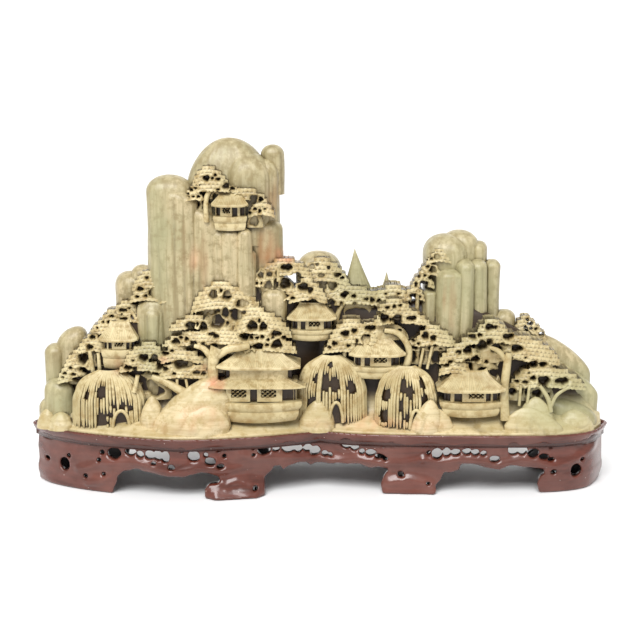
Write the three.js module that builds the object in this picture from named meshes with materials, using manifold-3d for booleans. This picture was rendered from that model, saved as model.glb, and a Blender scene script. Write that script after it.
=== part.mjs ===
// A soapstone mountain carving on its pierced hardwood stand.
// Millimetres. X runs along the carving, Y towards its back, Z up from the surface it stands on.

import * as THREE from 'three';
import { mergeVertices } from 'three/addons/utils/BufferGeometryUtils.js';
import Module from 'manifold-3d';

const wasm = await Module();
wasm.setup();

// Driving dimensions
const LENGTH = 606;
const SEAT_HEIGHT = 60;
const RIM_HEIGHT = 63;
const RIM_THICKNESS = 3.5;
const STONE_CLEARANCE = 1.2;
const DECK_THICKNESS = 10;
const APRON_THICKNESS = 12;
const GROUND_HEIGHT = 80;
const HILL_FOOT_Y = -26;
const HILL_LEAN = 0.12;

const HALF = LENGTH / 2;
const STONE_COLOUR = 0xc9c193;
const WOOD_COLOUR = 0x5a1f16;

const mix = (a, b, t) => a + (b - a) * t;
const clamp = THREE.MathUtils.clamp;

// Joining and cutting

function closedMesh(geometry, reshape) {
  const bare = geometry.clone();
  bare.deleteAttribute('normal');
  bare.deleteAttribute('uv');
  const place = bare.getAttribute('position');
  const corner = new THREE.Vector3();
  for (let i = 0; reshape && i < place.count; i++) {
    corner.fromBufferAttribute(place, i);
    reshape(corner);
    place.setXYZ(i, corner.x, corner.y, corner.z);
  }
  const merged = mergeVertices(bare, 1e-3);
  const points = merged.getAttribute('position').array;
  const faces = [];
  const index = merged.index.array;
  let volume = 0;
  const a = new THREE.Vector3();
  const b = new THREE.Vector3();
  const c = new THREE.Vector3();
  for (let i = 0; i < index.length; i += 3) {
    const [p, q, r] = [index[i], index[i + 1], index[i + 2]];
    if (p === q || q === r || r === p) continue;
    faces.push([p, q, r]);
    a.fromArray(points, 3 * p);
    b.fromArray(points, 3 * q);
    c.fromArray(points, 3 * r);
    volume += a.dot(b.cross(c));
  }
  if (volume < 0) faces.forEach((face) => face.reverse());
  return { points, faces };
}

function solid(geometry, reshape) {
  const { points, faces } = closedMesh(geometry, reshape);
  return new wasm.Manifold(new wasm.Mesh({
    numProp: 3,
    vertProperties: new Float32Array(points),
    triVerts: new Uint32Array(faces.flat()),
  }));
}

function join(solids) {
  return solids.reduce((whole, next) => whole.add(next));
}

function block(x0, x1, y0, y1, z0, z1) {
  const box = new THREE.BoxGeometry(x1 - x0, y1 - y0, z1 - z0);
  box.translate((x0 + x1) / 2, (y0 + y1) / 2, (z0 + z1) / 2);
  return solid(box);
}

function meshOf(name, whole, colour, roughness) {
  const made = whole.getMesh();
  const geometry = new THREE.BufferGeometry();
  geometry.setAttribute('position', new THREE.BufferAttribute(made.vertProperties, 3));
  geometry.setIndex(new THREE.BufferAttribute(made.triVerts, 1));
  geometry.computeVertexNormals();
  const material = new THREE.MeshStandardMaterial({ color: colour, roughness, metalness: 0 });
  const mesh = new THREE.Mesh(geometry, material);
  mesh.name = name;
  return mesh;
}

// The plan: two lobes in front that meet in a cusp, one long curve at the back

const CUSP = [0, -42];
const LEFT_LOBE = new THREE.SplineCurve([
  [-HALF, -4], [-284, -26], [-248, -47], [-200, -63], [-140, -74], [-75, -66], [-28, -53], CUSP,
].map(([x, y]) => new THREE.Vector2(x, y)));
const RIGHT_LOBE = new THREE.SplineCurve([
  CUSP, [40, -53], [100, -58], [180, -60], [244, -57], [282, -40], [HALF, -4],
].map(([x, y]) => new THREE.Vector2(x, y)));
const BACK_Y = 73.6;

function curveAt(curve, x) {
  let low = 0;
  let high = 1;
  for (let i = 0; i < 24; i++) {
    const middle = (low + high) / 2;
    if (curve.getPoint(middle).x < x) low = middle;
    else high = middle;
  }
  return curve.getPoint(low).y;
}

const frontRim = (x) => curveAt(x < CUSP[0] ? LEFT_LOBE : RIGHT_LOBE, clamp(x, -HALF, HALF));
const backRim = (x) => -4 + (BACK_Y + 4) * (1 - Math.abs(clamp(x / HALF, -1, 1)) ** 2.4) ** 0.6;

function rimPoint(turn) {
  const around = turn - Math.floor(turn);
  const swing = 0.6 * Math.cos(2 * Math.PI * around) + 0.4 * (1 - 4 * Math.min(around, 1 - around));
  const x = -HALF * swing;
  return [x, around < 0.5 ? frontRim(x) : backRim(x)];
}

function rimOffset(turn, outward) {
  const [x, y] = rimPoint(turn);
  const [ax, ay] = rimPoint(turn - 0.004);
  const [bx, by] = rimPoint(turn + 0.004);
  const length = Math.hypot(bx - ax, by - ay);
  return [x + (outward * (by - ay)) / length, y - (outward * (bx - ax)) / length];
}

// The stand

const RIM_STEPS = 56;
const SECTION_SHIFT = 100;
const FEET = [
  { from: -HALF, to: -206, flare: -6 },
  { from: -114, to: -56, flare: 8 },
  { from: 63, to: 124, flare: 1 },
  { from: 219, to: HALF, flare: -8 },
];

function footFlare(x) {
  const nearest = FEET.map((foot) => {
    const away = Math.max(foot.from - x, x - foot.to, 0);
    return { away, flare: foot.flare };
  }).sort((a, b) => a.away - b.away)[0];
  return nearest.flare;
}

function standBody() {
  const inside = -APRON_THICKNESS - 4;
  const deckUnder = SEAT_HEIGHT - DECK_THICKNESS;
  const section = [
    [-SECTION_SHIFT, SEAT_HEIGHT], [-RIM_THICKNESS, SEAT_HEIGHT], [-RIM_THICKNESS, RIM_HEIGHT],
    [0, RIM_HEIGHT], [0, 58], [-4, 53], [-4, 30], [0, 8], [0, 0], [inside, 0],
    [inside, deckUnder], [-SECTION_SHIFT, deckUnder],
  ].map(([out, up]) => new THREE.Vector2(SECTION_SHIFT + out, up));
  const turned = new THREE.LatheGeometry(section, RIM_STEPS);
  return solid(turned, (corner) => {
    const spoke = Math.hypot(corner.x, corner.z);
    const up = corner.y;
    if (spoke < 1) {
      corner.set(0, 0, up);
      return;
    }
    const step = Math.round((Math.atan2(corner.x, corner.z) / (2 * Math.PI)) * RIM_STEPS) / RIM_STEPS;
    const spread = footFlare(rimPoint(step)[0]) * clamp((20 - up) / 20, 0, 1) ** 1.4;
    const [x, y] = rimOffset(step, spoke - SECTION_SHIFT + spread);
    corner.set(x, y, up);
  });
}

// Each arched gap between two feet runs from front to back under a wavy lower edge
const APRON_GAPS = [
  [
    [-206, 0], [-207, 9], [-199, 13], [-188, 20], [-180, 22], [-165, 13], [-140, 14], [-132, 18],
    [-113, 18], [-105, 12], [-112, 9], [-120, 7], [-121, 0],
  ],
  [
    [-53, 0], [-56, 14], [-47, 26], [-38, 22], [-20, 29], [-10, 25], [18, 29], [38, 28],
    [50, 22], [64, 20], [60, 12], [62, 0],
  ],
  [
    [126, 0], [125, 8], [132, 15], [135, 22], [148, 22], [152, 29], [178, 24], [192, 24],
    [212, 28], [226, 23], [222, 10], [223, 0],
  ],
];

function gapCutter(points) {
  const outline = new THREE.Shape(points.map(([x, z]) => new THREE.Vector2(x, z)));
  outline.lineTo(points.at(-1)[0], -5);
  outline.lineTo(points[0][0], -5);
  const depth = 2 * BACK_Y + 60;
  const cutter = new THREE.ExtrudeGeometry(outline, { depth, bevelEnabled: false });
  cutter.rotateX(Math.PI / 2);
  cutter.translate(0, depth / 2, 0);
  return solid(cutter);
}

// Pierced holes of the apron as [x, z, half width, half height]
const FRONT_HOLES = [
  [-262, 30, 4, 4], [-240, 34, 5, 5], [-203, 36, 7, 6], [-178, 36, 12, 6], [-126, 34, 7, 6],
  [-56, 43, 5, 5], [-31, 45, 6, 5], [-14, 40, 8, 4], [26, 46, 7, 5], [46, 41, 11, 5],
  [118, 38, 6, 5], [152, 37, 10, 5], [195, 43, 6, 5], [222, 37, 11, 6], [262, 28, 5, 5],
];
const BACK_HOLES = [[-170, 37, 9, 6], [-20, 41, 9, 6], [22, 39, 8, 5], [170, 38, 9, 6]];

function hole([x, z, wide, high], atBack) {
  const sides = 6;
  const drill = new THREE.CylinderGeometry(1, 1, 60, sides);
  const y = atBack ? backRim(x) : frontRim(x);
  return solid(drill, (corner) => {
    corner.set(x + wide * corner.x, y + corner.y, z + high * corner.z);
  });
}

function hardwoodStand() {
  let whole = standBody();
  const cutters = [
    ...APRON_GAPS.map(gapCutter),
    ...FRONT_HOLES.map((size) => hole(size, false)),
    ...BACK_HOLES.map((size) => hole(size, true)),
  ];
  for (const cutter of cutters) whole = whole.subtract(cutter);
  return whole;
}

// The ground and the hill behind it, one ridge of stone

const CREST = new THREE.SplineCurve([
  [-HALF, 64], [-270, 100], [-240, 152], [-210, 172], [-150, 200], [-90, 215], [-20, 208], [45, 192],
  [90, 192], [150, 190], [205, 162], [240, 134], [276, 88], [HALF, 64],
].map(([x, z]) => new THREE.Vector2(x, z)));
const RIDGE_STEPS = 24;
const RIDGE_SIDES = 8;

const hillFront = (z) => HILL_FOOT_Y + HILL_LEAN * Math.max(0, z - GROUND_HEIGHT);

function stoneEdge(x, first, last) {
  let [low, high] = [first, last];
  for (let i = 0; i < 24; i++) {
    const middle = (low + high) / 2;
    if (rimOffset(middle, -RIM_THICKNESS - STONE_CLEARANCE)[0] < x) low = middle;
    else high = middle;
  }
  return rimOffset(low, -RIM_THICKNESS - STONE_CLEARANCE)[1];
}

function ridgeSection(x) {
  const front = stoneEdge(x, 0.002, 0.498);
  const back = stoneEdge(x, 0.998, 0.502);
  const crest = curveAt(CREST, x);
  const ground = Math.min(GROUND_HEIGHT, mix(SEAT_HEIGHT, crest, 0.6));
  const across = (share) => mix(front, back, share);
  return [
    [front, SEAT_HEIGHT],
    [front, SEAT_HEIGHT + 4],
    [Math.max(HILL_FOOT_Y, across(0.25)), ground],
    [Math.max(hillFront(crest), across(0.42)), crest],
    [Math.min(20, across(0.6)), crest],
    [Math.min(40, across(0.75)), mix(SEAT_HEIGHT, crest, 0.6)],
    [back, SEAT_HEIGHT + 4],
    [back, SEAT_HEIGHT],
  ];
}

function ridge() {
  const bar = new THREE.CylinderGeometry(1, 1, 1, RIDGE_SIDES, RIDGE_STEPS);
  const reach = HALF - 9;
  return solid(bar, (corner) => {
    const x = mix(-reach, reach, corner.y + 0.5);
    const section = ridgeSection(x);
    if (Math.hypot(corner.x, corner.z) < 0.5) {
      corner.set(x, mix(section[0][0], section.at(-1)[0], 0.5), SEAT_HEIGHT + 2);
      return;
    }
    const side = Math.round((Math.atan2(corner.x, corner.z) / (2 * Math.PI)) * RIDGE_SIDES);
    const [y, z] = section[(side + RIDGE_SIDES) % RIDGE_SIDES];
    corner.set(x, y, z);
  });
}

// Standing rocks: fluted fingers with rounded heads, and pointed peaks

const FINGER = [[0, 0], [1.04, 0], [0.94, 0.82], [0.6, 0.96], [0, 1]];
const BLUNT = [[0, 0], [1, 0], [0.99, 0.75], [0.8, 0.91], [0.42, 0.985], [0, 1]];
const PEAK = [[0, 0], [1, 0], [0.52, 0.52], [0.16, 0.92], [0, 1]];

function rock({ x, y, base, top, wide, deep, sides = 10, flute = 0.12, lean = 0, tilt = 0, form = FINGER }) {
  const profile = form.map(([r, t]) => new THREE.Vector2(r, t));
  const turned = new THREE.LatheGeometry(profile, sides);
  return solid(turned, (corner) => {
    const share = corner.y;
    const turn = Math.atan2(corner.z, corner.x);
    const side = Math.round((turn / (2 * Math.PI)) * sides);
    const groove = side % 2 ? 1 - flute : 1;
    const across = corner.x * groove;
    corner.set(
      x + wide * across + lean * share,
      y + deep * corner.z * groove,
      mix(base, top, share) - tilt * wide * across * share,
    );
  });
}

const PEAKS_ON_LEFT = [
  { x: -152, y: 5, base: 90, top: 318, wide: 23, deep: 22, sides: 12, lean: -2 },
  { x: -152, y: 6, base: 290, top: 325, wide: 11, deep: 14, sides: 8 },
  { x: -119, y: 0, base: 90, top: 290, wide: 18, deep: 16, tilt: 0.3 },
  { x: -102, y: -5, base: 120, top: 268, wide: 9, deep: 10, sides: 8 },
  { x: -87, y: 25, base: 90, top: 358, wide: 50, deep: 30, sides: 12, flute: 0.06, lean: -7, form: BLUNT },
  { x: -54, y: 24, base: 318, top: 350, wide: 15, deep: 15, sides: 8 },
  { x: -56, y: 12, base: 90, top: 276, wide: 20, deep: 17, sides: 12 },
  { x: -91, y: -9, base: 200, top: 269, wide: 10, deep: 9, sides: 8 },
  { x: -77, y: -11, base: 170, top: 269, wide: 8, deep: 9, sides: 8 },
];
const ROCKS_ON_LEFT = [
  { x: -199, y: 22, base: 70, top: 219, wide: 19, deep: 18 },
  { x: -173, y: -5, base: 70, top: 197, wide: 17, deep: 15 },
  { x: -262, y: 6, base: 64, top: 162, wide: 17, deep: 15, lean: 3, tilt: -0.3 },
  { x: -265, y: -13, base: 64, top: 114, wide: 21, deep: 15, sides: 8 },
  { x: -47, y: -5, base: 90, top: 206, wide: 14, deep: 13, sides: 10 },
];
const PEAKS_BEHIND = [
  { x: -2, y: 24, base: 80, top: 240, wide: 24, deep: 22, sides: 10 },
  { x: 44, y: 16, base: 150, top: 244, wide: 40, deep: 26, lean: -8, form: PEAK },
  { x: 70, y: 24, base: 150, top: 218, wide: 22, deep: 20, sides: 8, form: PEAK },
];
const PEAKS_ON_RIGHT = [
  { x: 137, y: 22, base: 80, top: 262, wide: 31, deep: 24, flute: 0.08, form: BLUNT },
  { x: 166, y: 22, base: 90, top: 251, wide: 12, deep: 14, sides: 8 },
  { x: 136, y: 0, base: 90, top: 229, wide: 19, deep: 17 },
  { x: 164, y: 8, base: 90, top: 232, wide: 11, deep: 14, sides: 10 },
  { x: 178, y: 14, base: 90, top: 233, wide: 8, deep: 12, sides: 8 },
  { x: 113, y: 2, base: 90, top: 204, wide: 9, deep: 13, sides: 8 },
  { x: 193, y: 12, base: 90, top: 180, wide: 11, deep: 13, sides: 8 },
  { x: 260, y: 8, base: 64, top: 142, wide: 28, deep: 13, tilt: 0.75 },
  { x: 264, y: -2, base: 64, top: 122, wide: 28, deep: 14, tilt: 0.75 },
  { x: 260, y: -15, base: 64, top: 92, wide: 27, deep: 19, tilt: 0.35 },
];
const BOULDER = [[0, 0], [1, 0], [0.76, 0.64], [0.3, 0.96], [0, 1]];
const BOULDERS = [
  { x: -144, y: -44, base: 64, top: 120, wide: 38, deep: 22, sides: 8, lean: 9 },
  { x: -4, y: -32, base: 64, top: 94, wide: 17, deep: 7, sides: 8 },
  { x: 116, y: -44, base: 64, top: 98, wide: 16, deep: 8, sides: 8 },
  { x: 220, y: -39, base: 64, top: 98, wide: 21, deep: 12, sides: 8, tilt: -0.2 },
  { x: 208, y: -45, base: 64, top: 87, wide: 24, deep: 8, sides: 8, tilt: 0.3 },
].map((size) => ({ flute: 0.06, form: BOULDER, ...size }));

// Pines: a bent trunk with flat scalloped pads of needles, each running back into the hill

const PAD = [[0, 0], [1, 0.22], [0.82, 0.74], [0, 1]];
const PAD_SIDES = 6;

function pad([left, right, height], front, back, thickness) {
  const turned = new THREE.LatheGeometry(PAD.map(([r, t]) => new THREE.Vector2(r, t)), PAD_SIDES);
  return solid(turned, (corner) => {
    corner.set(
      mix(left, right, 0.5 + 0.5 * corner.z),
      mix(front, back, 0.5 + 0.5 * corner.x),
      height + thickness * (corner.y - 0.5),
    );
  });
}

function branch(points, radius) {
  const path = new THREE.CatmullRomCurve3(points.map(([x, y, z]) => new THREE.Vector3(x, y, z)));
  const section = new THREE.Shape();
  for (let i = 0; i < 4; i++) {
    const turn = (i / 4) * 2 * Math.PI;
    const [x, y] = [radius * Math.cos(turn), radius * Math.sin(turn)];
    if (i === 0) section.moveTo(x, y);
    else section.lineTo(x, y);
  }
  const steps = points.length;
  return solid(new THREE.ExtrudeGeometry(section, { steps, bevelEnabled: false, extrudePath: path }));
}

// Each tier is [left, right, height]; front and back are where its pads start and end
const PINES = [
  {
    front: -36, thickness: 16, trunk: [[-106, -30, 88], [-103, -26, 138], [-95, -20, 168], [-97, -16, 204]],
    tiers: [
      [-118, -74, 216], [-133, -58, 205], [-146, -106, 184], [-88, -44, 187], [-76, -26, 174],
      [-122, -78, 170], [-166, -112, 160],
    ],
  },
  {
    front: -42, thickness: 16, trunk: [[-148, -40, 98], [-166, -34, 114], [-174, -30, 136]],
    tiers: [[-192, -146, 155], [-206, -172, 142], [-168, -118, 145], [-211, -180, 130], [-174, -108, 131]],
  },
  {
    front: -34, thickness: 16, trunk: [[-26, -28, 120], [-22, -24, 150]],
    tiers: [[-31, 1, 162], [-42, 10, 150]],
  },
  {
    front: -10, back: 16, thickness: 16, trunk: [[-48, -8, 180], [-45, -4, 208], [-38, 0, 236]],
    tiers: [[-46, -20, 239], [-69, -38, 228], [-34, -1, 222], [-42, 4, 206], [-20, 10, 194]],
  },
  {
    front: 2, thickness: 16, trunk: [[22, 6, 165], [26, 8, 182], [18, 8, 210]],
    tiers: [[-9, 29, 229], [6, 45, 212], [-9, 22, 197], [20, 64, 197]],
  },
  {
    front: -30, back: 14, thickness: 16, trunk: [[86, -26, 120], [89, -22, 146], [82, -18, 180]],
    tiers: [
      [57, 96, 198], [36, 110, 188], [62, 118, 177], [102, 140, 160], [10, 50, 175], [4, 34, 159],
    ],
  },
  {
    front: -40, thickness: 16, trunk: [[189, -34, 80], [190, -32, 110], [188, -30, 134], [174, -26, 168]],
    tiers: [
      [158, 192, 180], [141, 206, 169], [122, 168, 153], [164, 224, 154], [119, 152, 137],
      [152, 190, 138], [205, 250, 136],
    ],
  },
  {
    front: -44, thickness: 16, trunk: [[236, -34, 80], [235, -34, 116]],
    tiers: [[194, 218, 115], [214, 250, 124], [228, 271, 115]],
  },
  {
    front: 0, thickness: 16, trunk: [[222, 6, 130], [218, 9, 176]],
    tiers: [[202, 231, 172], [216, 244, 158]],
  },
  {
    front: -4, thickness: 16, trunk: [[-160, 0, 170], [-170, 4, 205]],
    tiers: [[-185, -154, 218], [-200, -176, 208], [-201, -180, 196], [-168, -131, 206]],
  },
  {
    front: -8, thickness: 16, trunk: [[-215, 0, 130], [-208, 2, 180]],
    tiers: [[-211, -186, 190], [-226, -196, 179], [-240, -212, 169], [-247, -225, 160]],
  },
  {
    front: -24, thickness: 16, trunk: [[-236, -22, 90], [-240, -18, 140]],
    tiers: [[-247, -222, 153], [-259, -219, 143], [-270, -238, 133], [-279, -234, 122]],
  },
  {
    front: -20, back: 12, thickness: 16, trunk: [[-111, -10, 266], [-112, -12, 290], [-104, -8, 322]],
    tiers: [[-129, -91, 330], [-137, -83, 315], [-136, -115, 303], [-86, -52, 311], [-72, -47, 298]],
  },
  {
    front: -16, back: 14, thickness: 16, trunk: [[104, -10, 180], [108, -8, 235]],
    tiers: [[111, 136, 246], [102, 126, 233], [94, 118, 220], [89, 112, 207]],
  },
];

function pine({ front, back, thickness, trunk, tiers }) {
  const pads = tiers.map((tier) => {
    const rear = back ?? Math.max(hillFront(tier[2]) + 12, front + 20);
    return pad(tier, front, rear, thickness);
  });
  return join([branch(trunk, 3.5), ...pads]);
}

// Pavilions: a platform, walls with openings between posts, and a hipped roof with raised corners

const EAVE_REACH = 0.06;

function roof(left, right, front, back, eave, ridgeTop) {
  const shell = new THREE.CylinderGeometry(0.3, 1, 1, 8, 2);
  const middle = [(left + right) / 2, (front + back) / 2];
  const reach = [(right - left) / 2, (back - front) / 2];
  return solid(shell, (corner) => {
    const share = corner.y + 0.5;
    const spread = Math.hypot(corner.x, corner.z);
    if (spread < 0.05) {
      corner.set(middle[0], middle[1], mix(eave, ridgeTop, share));
      return;
    }
    const side = Math.round((Math.atan2(corner.z, corner.x) / (2 * Math.PI)) * 8);
    const angle = (side * Math.PI) / 4;
    const onCorner = side % 2 !== 0;
    const squareX = onCorner ? Math.sign(Math.cos(angle)) : Math.cos(angle);
    const squareY = onCorner ? Math.sign(Math.sin(angle)) : Math.sin(angle);
    const narrow = [1, 0.6, 0.4][Math.round(share * 2)];
    const raised = onCorner && share < 0.1 ? 0.22 : 0;
    corner.set(
      middle[0] + reach[0] * squareX * mix(narrow, 1, 0.25 * (1 - share)),
      middle[1] + reach[1] * squareY * narrow,
      mix(eave, ridgeTop, share + raised),
    );
  });
}

function pavilion({ left, right, front, depth, levels, openings }) {
  const [bottom, floor, eave, top] = levels;
  const back = front + depth;
  const reach = EAVE_REACH * (right - left);
  let whole = join([
    block(left - reach, right + reach, front - 3, back, bottom, floor + 0.5),
    block(left, right, front, back - 1, floor, mix(eave, top, 0.4)),
  ]);
  for (const [from, to, sill, head] of openings) {
    const [x0, x1] = [mix(left, right, from), mix(left, right, to)];
    const [z0, z1] = [mix(floor, eave, sill), mix(floor, eave, head)];
    whole = whole.subtract(block(x0, x1, front - 6, front + 6, z0, z1));
  }
  return whole.add(roof(left - 2 * reach, right + 2 * reach, front - 7, back + 2, eave, top));
}

const BETWEEN_POSTS = [[0.1, 0.44, 0.1, 0.85], [0.56, 0.9, 0.1, 0.85]];
const PAVILIONS = [
  { left: -106, right: -76, front: -20, depth: 24, levels: [268, 282, 294, 308], openings: BETWEEN_POSTS },
  { left: -222, right: -190, front: -28, depth: 26, levels: [126, 146, 157, 173], openings: BETWEEN_POSTS },
  { left: -29, right: 12, front: -20, depth: 26, levels: [154, 165, 177, 191], openings: BETWEEN_POSTS },
  { left: 35, right: 82, front: -32, depth: 26, levels: [117, 129, 142, 158], openings: BETWEEN_POSTS },
  { left: 126, right: 182, front: -46, depth: 30, levels: [80, 95, 108, 125], openings: BETWEEN_POSTS },
  {
    left: -100, right: -27, front: -48, depth: 30, levels: [74, 95, 111, 121],
    openings: [[0.03, 0.1, 0.1, 0.85], [0.34, 0.46, 0.05, 0.8], [0.88, 0.96, 0.1, 0.85]],
  },
  { left: -92, right: -34, front: -42, depth: 28, levels: [112, 116, 128, 146], openings: [] },
];

// Willows: a dome of hanging strands over an open arch

const DOME = [[0, 0], [1, 0], [0.97, 0.5], [0.66, 0.88], [0, 1]];

function willow({ left, right, front, depth, base, top }) {
  const sides = 14;
  const middle = (left + right) / 2;
  const dome = solid(
    new THREE.LatheGeometry(DOME.map(([r, t]) => new THREE.Vector2(r, t)), sides),
    (corner) => {
      const side = Math.round((Math.atan2(corner.z, corner.x) / (2 * Math.PI)) * sides);
      const strand = side % 2 ? 0.88 : 1;
      corner.set(
        middle + ((right - left) / 2) * corner.x * strand,
        front + depth / 2 + (depth / 2) * corner.z * strand,
        mix(base, top, corner.y),
      );
    },
  );
  const [width, height] = [(right - left) * 0.2, (top - base) * 0.5];
  return [-0.3, 0.22].reduce((whole, share) => {
    const x = middle + share * (right - left);
    return whole.subtract(block(x - width / 2, x + width / 2, front - 5, front + 12, base + 6, base + height));
  }, dome);
}

const WILLOWS = [
  { left: -254, right: -180, front: -46, depth: 30, base: 66, top: 126 },
  { left: -24, right: 47, front: -40, depth: 26, base: 70, top: 142 },
  { left: 57, right: 121, front: -49, depth: 32, base: 66, top: 132 },
];

function soapstoneMountain() {
  const rocks = [
    ...PEAKS_ON_LEFT, ...ROCKS_ON_LEFT, ...PEAKS_BEHIND, ...PEAKS_ON_RIGHT, ...BOULDERS,
  ];
  return join([
    ridge(),
    ...rocks.map(rock),
    ...PINES.map(pine),
    ...PAVILIONS.map(pavilion),
    ...WILLOWS.map(willow),
  ]);
}

const group = new THREE.Group();
group.add(meshOf('mountain_carving', soapstoneMountain(), STONE_COLOUR, 0.55));
group.add(meshOf('stand', hardwoodStand(), WOOD_COLOUR, 0.3));

export default group;
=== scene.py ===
import math

import bpy
import numpy as np
import openvdb as vdb
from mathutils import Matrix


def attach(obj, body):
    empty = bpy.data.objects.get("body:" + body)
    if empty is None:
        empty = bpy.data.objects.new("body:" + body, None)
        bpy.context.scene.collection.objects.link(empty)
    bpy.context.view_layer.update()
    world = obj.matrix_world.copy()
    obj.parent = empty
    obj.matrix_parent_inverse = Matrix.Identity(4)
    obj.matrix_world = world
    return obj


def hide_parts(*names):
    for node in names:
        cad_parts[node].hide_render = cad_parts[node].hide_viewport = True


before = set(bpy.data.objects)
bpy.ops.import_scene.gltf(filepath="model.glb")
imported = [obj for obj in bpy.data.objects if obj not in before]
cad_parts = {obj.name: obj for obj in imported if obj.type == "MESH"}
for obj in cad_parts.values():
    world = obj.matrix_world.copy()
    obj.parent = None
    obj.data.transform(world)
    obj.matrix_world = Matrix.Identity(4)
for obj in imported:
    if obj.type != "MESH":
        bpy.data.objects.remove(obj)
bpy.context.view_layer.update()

# The stand. One block of dark hardwood, carved like gnarled root: a raised rim round a shallow
# seat, a pierced apron below it and four pairs of feet. It is lacquered red-brown and polished.
# Every length is in millimetres until the points become a mesh.
HALF_LENGTH = 303
BACK_Y = 73.6
SEAT = 60
RIM_TOP = 63
RIM_WIDTH = 3.5
DECK_UNDER = 50
LOBE_CUSP = (0, -42)
LEFT_LOBE = [
    (-303, -4), (-284, -26), (-248, -47), (-200, -63), (-140, -74), (-75, -66), (-28, -53), LOBE_CUSP,
]
RIGHT_LOBE = [LOBE_CUSP, (40, -53), (100, -58), (180, -60), (244, -57), (282, -40), (303, -4)]


def mix(a, b, share):
    return a + (b - a) * share


def ease(low, high, value):
    """0 below low, 1 above high and a soft step between."""
    share = np.clip((value - low) / (high - low), 0, 1)
    return share * share * (3 - 2 * share)


def spline(points, share):
    """Places along a smooth curve through the points, where share runs from 0 to 1."""
    points = np.asarray(points, float)
    last = len(points) - 1
    place = np.clip(share, 0, 1) * last
    start = np.minimum(place.astype(int), last - 1)
    t = (place - start)[..., None]
    before = points[np.maximum(start - 1, 0)]
    a, b = points[start], points[start + 1]
    after = points[np.minimum(start + 2, last)]
    slope_a, slope_b = (b - before) / 2, (after - a) / 2
    return (
        (2 * a - 2 * b + slope_a + slope_b) * t**3
        + (3 * b - 3 * a - 2 * slope_a - slope_b) * t**2
        + slope_a * t
        + a
    )


LOBES = np.concatenate([
    spline(LEFT_LOBE, np.linspace(0, 1, 400)),
    spline(RIGHT_LOBE, np.linspace(0, 1, 400))[1:],
])


def front_rim(x):
    return np.interp(x, LOBES[:, 0], LOBES[:, 1])


def back_rim(x):
    return -4 + (BACK_Y + 4) * (1 - np.abs(np.clip(x / HALF_LENGTH, -1, 1)) ** 2.4) ** 0.6


def rim_point(turn):
    around = turn - np.floor(turn)
    swing = 0.6 * np.cos(2 * np.pi * around) + 0.4 * (1 - 4 * np.minimum(around, 1 - around))
    x = -HALF_LENGTH * swing
    return x, np.where(around < 0.5, front_rim(x), back_rim(x))


def rim_offset(turn, outward):
    """Places round the rim's plan, moved outward from it."""
    x, y = rim_point(turn)
    ax, ay = rim_point(turn - 0.004)
    bx, by = rim_point(turn + 0.004)
    length = np.hypot(bx - ax, by - ay)
    return x + outward * (by - ay) / length, y - outward * (bx - ax) / length


def waver(x, y, z, size, seed):
    """A smooth random wave between about -1 and 1, whose bumps are about size across."""
    rng = np.random.default_rng(seed)
    total = 0
    for _ in range(7):
        way = rng.normal(size=3)
        way *= rng.uniform(0.7, 1.6) * np.pi / size / np.linalg.norm(way)
        total = total + np.sin(way[0] * x + way[1] * y + way[2] * z + rng.uniform(0, 2 * np.pi))
    return total / 3.2


def grid_faces(rows, columns, closed):
    """The four-sided faces of rows of points; closed joins each row's end to its start."""
    row = np.arange(rows - 1)[:, None] * columns
    column = np.arange(columns if closed else columns - 1)[None]
    following = (column + 1) % columns
    corners = [row + column, row + following, row + columns + following, row + columns + column]
    return np.stack(corners, -1).reshape(-1, 4)


def skin(x, y, z, closed=False, dirt_and_shade=0):
    """A carved surface from rows of points, with how much dirt and painted shade darken each point."""
    rows, columns = np.broadcast(x, y, z).shape
    points = np.stack(np.broadcast_arrays(x, y, z), -1).reshape(-1, 3).astype(float)
    dirt_and_shade_amount = np.broadcast_to(dirt_and_shade, (rows, columns)).reshape(-1).astype(float)
    return points, grid_faces(rows, columns, closed), dirt_and_shade_amount


def carved(name, skins, finish, node, crisp=None):
    """One object in metres from carved surfaces in millimetres."""
    points = np.concatenate([s[0] for s in skins])
    firsts = np.cumsum([0] + [len(s[0]) for s in skins[:-1]])
    faces = np.concatenate([s[1] + first for s, first in zip(skins, firsts)])
    dirt_and_shade_amount = np.concatenate([s[2] for s in skins])
    used, faces = np.unique(faces, return_inverse=True)
    points, dirt_and_shade_amount, faces = points[used], dirt_and_shade_amount[used], faces.reshape(-1, 4)
    mesh = bpy.data.meshes.new(name)
    mesh.vertices.add(len(points))
    mesh.vertices.foreach_set("co", (points * 0.001).astype(np.float32).ravel())
    mesh.loops.add(faces.size)
    mesh.loops.foreach_set("vertex_index", faces.astype(np.int32).ravel())
    mesh.polygons.add(len(faces))
    mesh.polygons.foreach_set("loop_start", np.arange(0, faces.size, 4, dtype=np.int32))
    mesh.update(calc_edges=True)
    # Per-point darkening stored as an attribute: dirt, and painted shade in hollows, grooves and undersides.
    mesh.attributes.new("dirt_and_shade", "FLOAT", "POINT").data.foreach_set("value", dirt_and_shade_amount.astype(np.float32))
    mesh.shade_smooth()
    if crisp:
        mesh.set_sharp_from_angle(angle=math.radians(crisp))
    mesh.materials.append(finish)
    piece = bpy.data.objects.new(name, mesh)
    bpy.context.scene.collection.objects.link(piece)
    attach(piece, "root")
    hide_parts(node)
    return piece


def link(finish, start, end):
    finish.node_tree.links.new(start, end)


def node(finish, kind, **values):
    made = finish.node_tree.nodes.new(kind)
    for key, value in values.items():
        if key.startswith("in_"):
            made.inputs[key[3:].replace("_", " ")].default_value = value
        else:
            setattr(made, key, value)
    return made


def blend(finish, factor, first, second, mode="MIX"):
    """A colour mixed from two, each a socket or a plain colour."""
    made = node(finish, "ShaderNodeMix", data_type="RGBA", blend_type=mode)
    for socket, value in zip((made.inputs[0], made.inputs[6], made.inputs[7]), (factor, first, second)):
        if isinstance(value, bpy.types.NodeSocket):
            link(finish, value, socket)
        else:
            socket.default_value = value
    return made.outputs[2]


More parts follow.
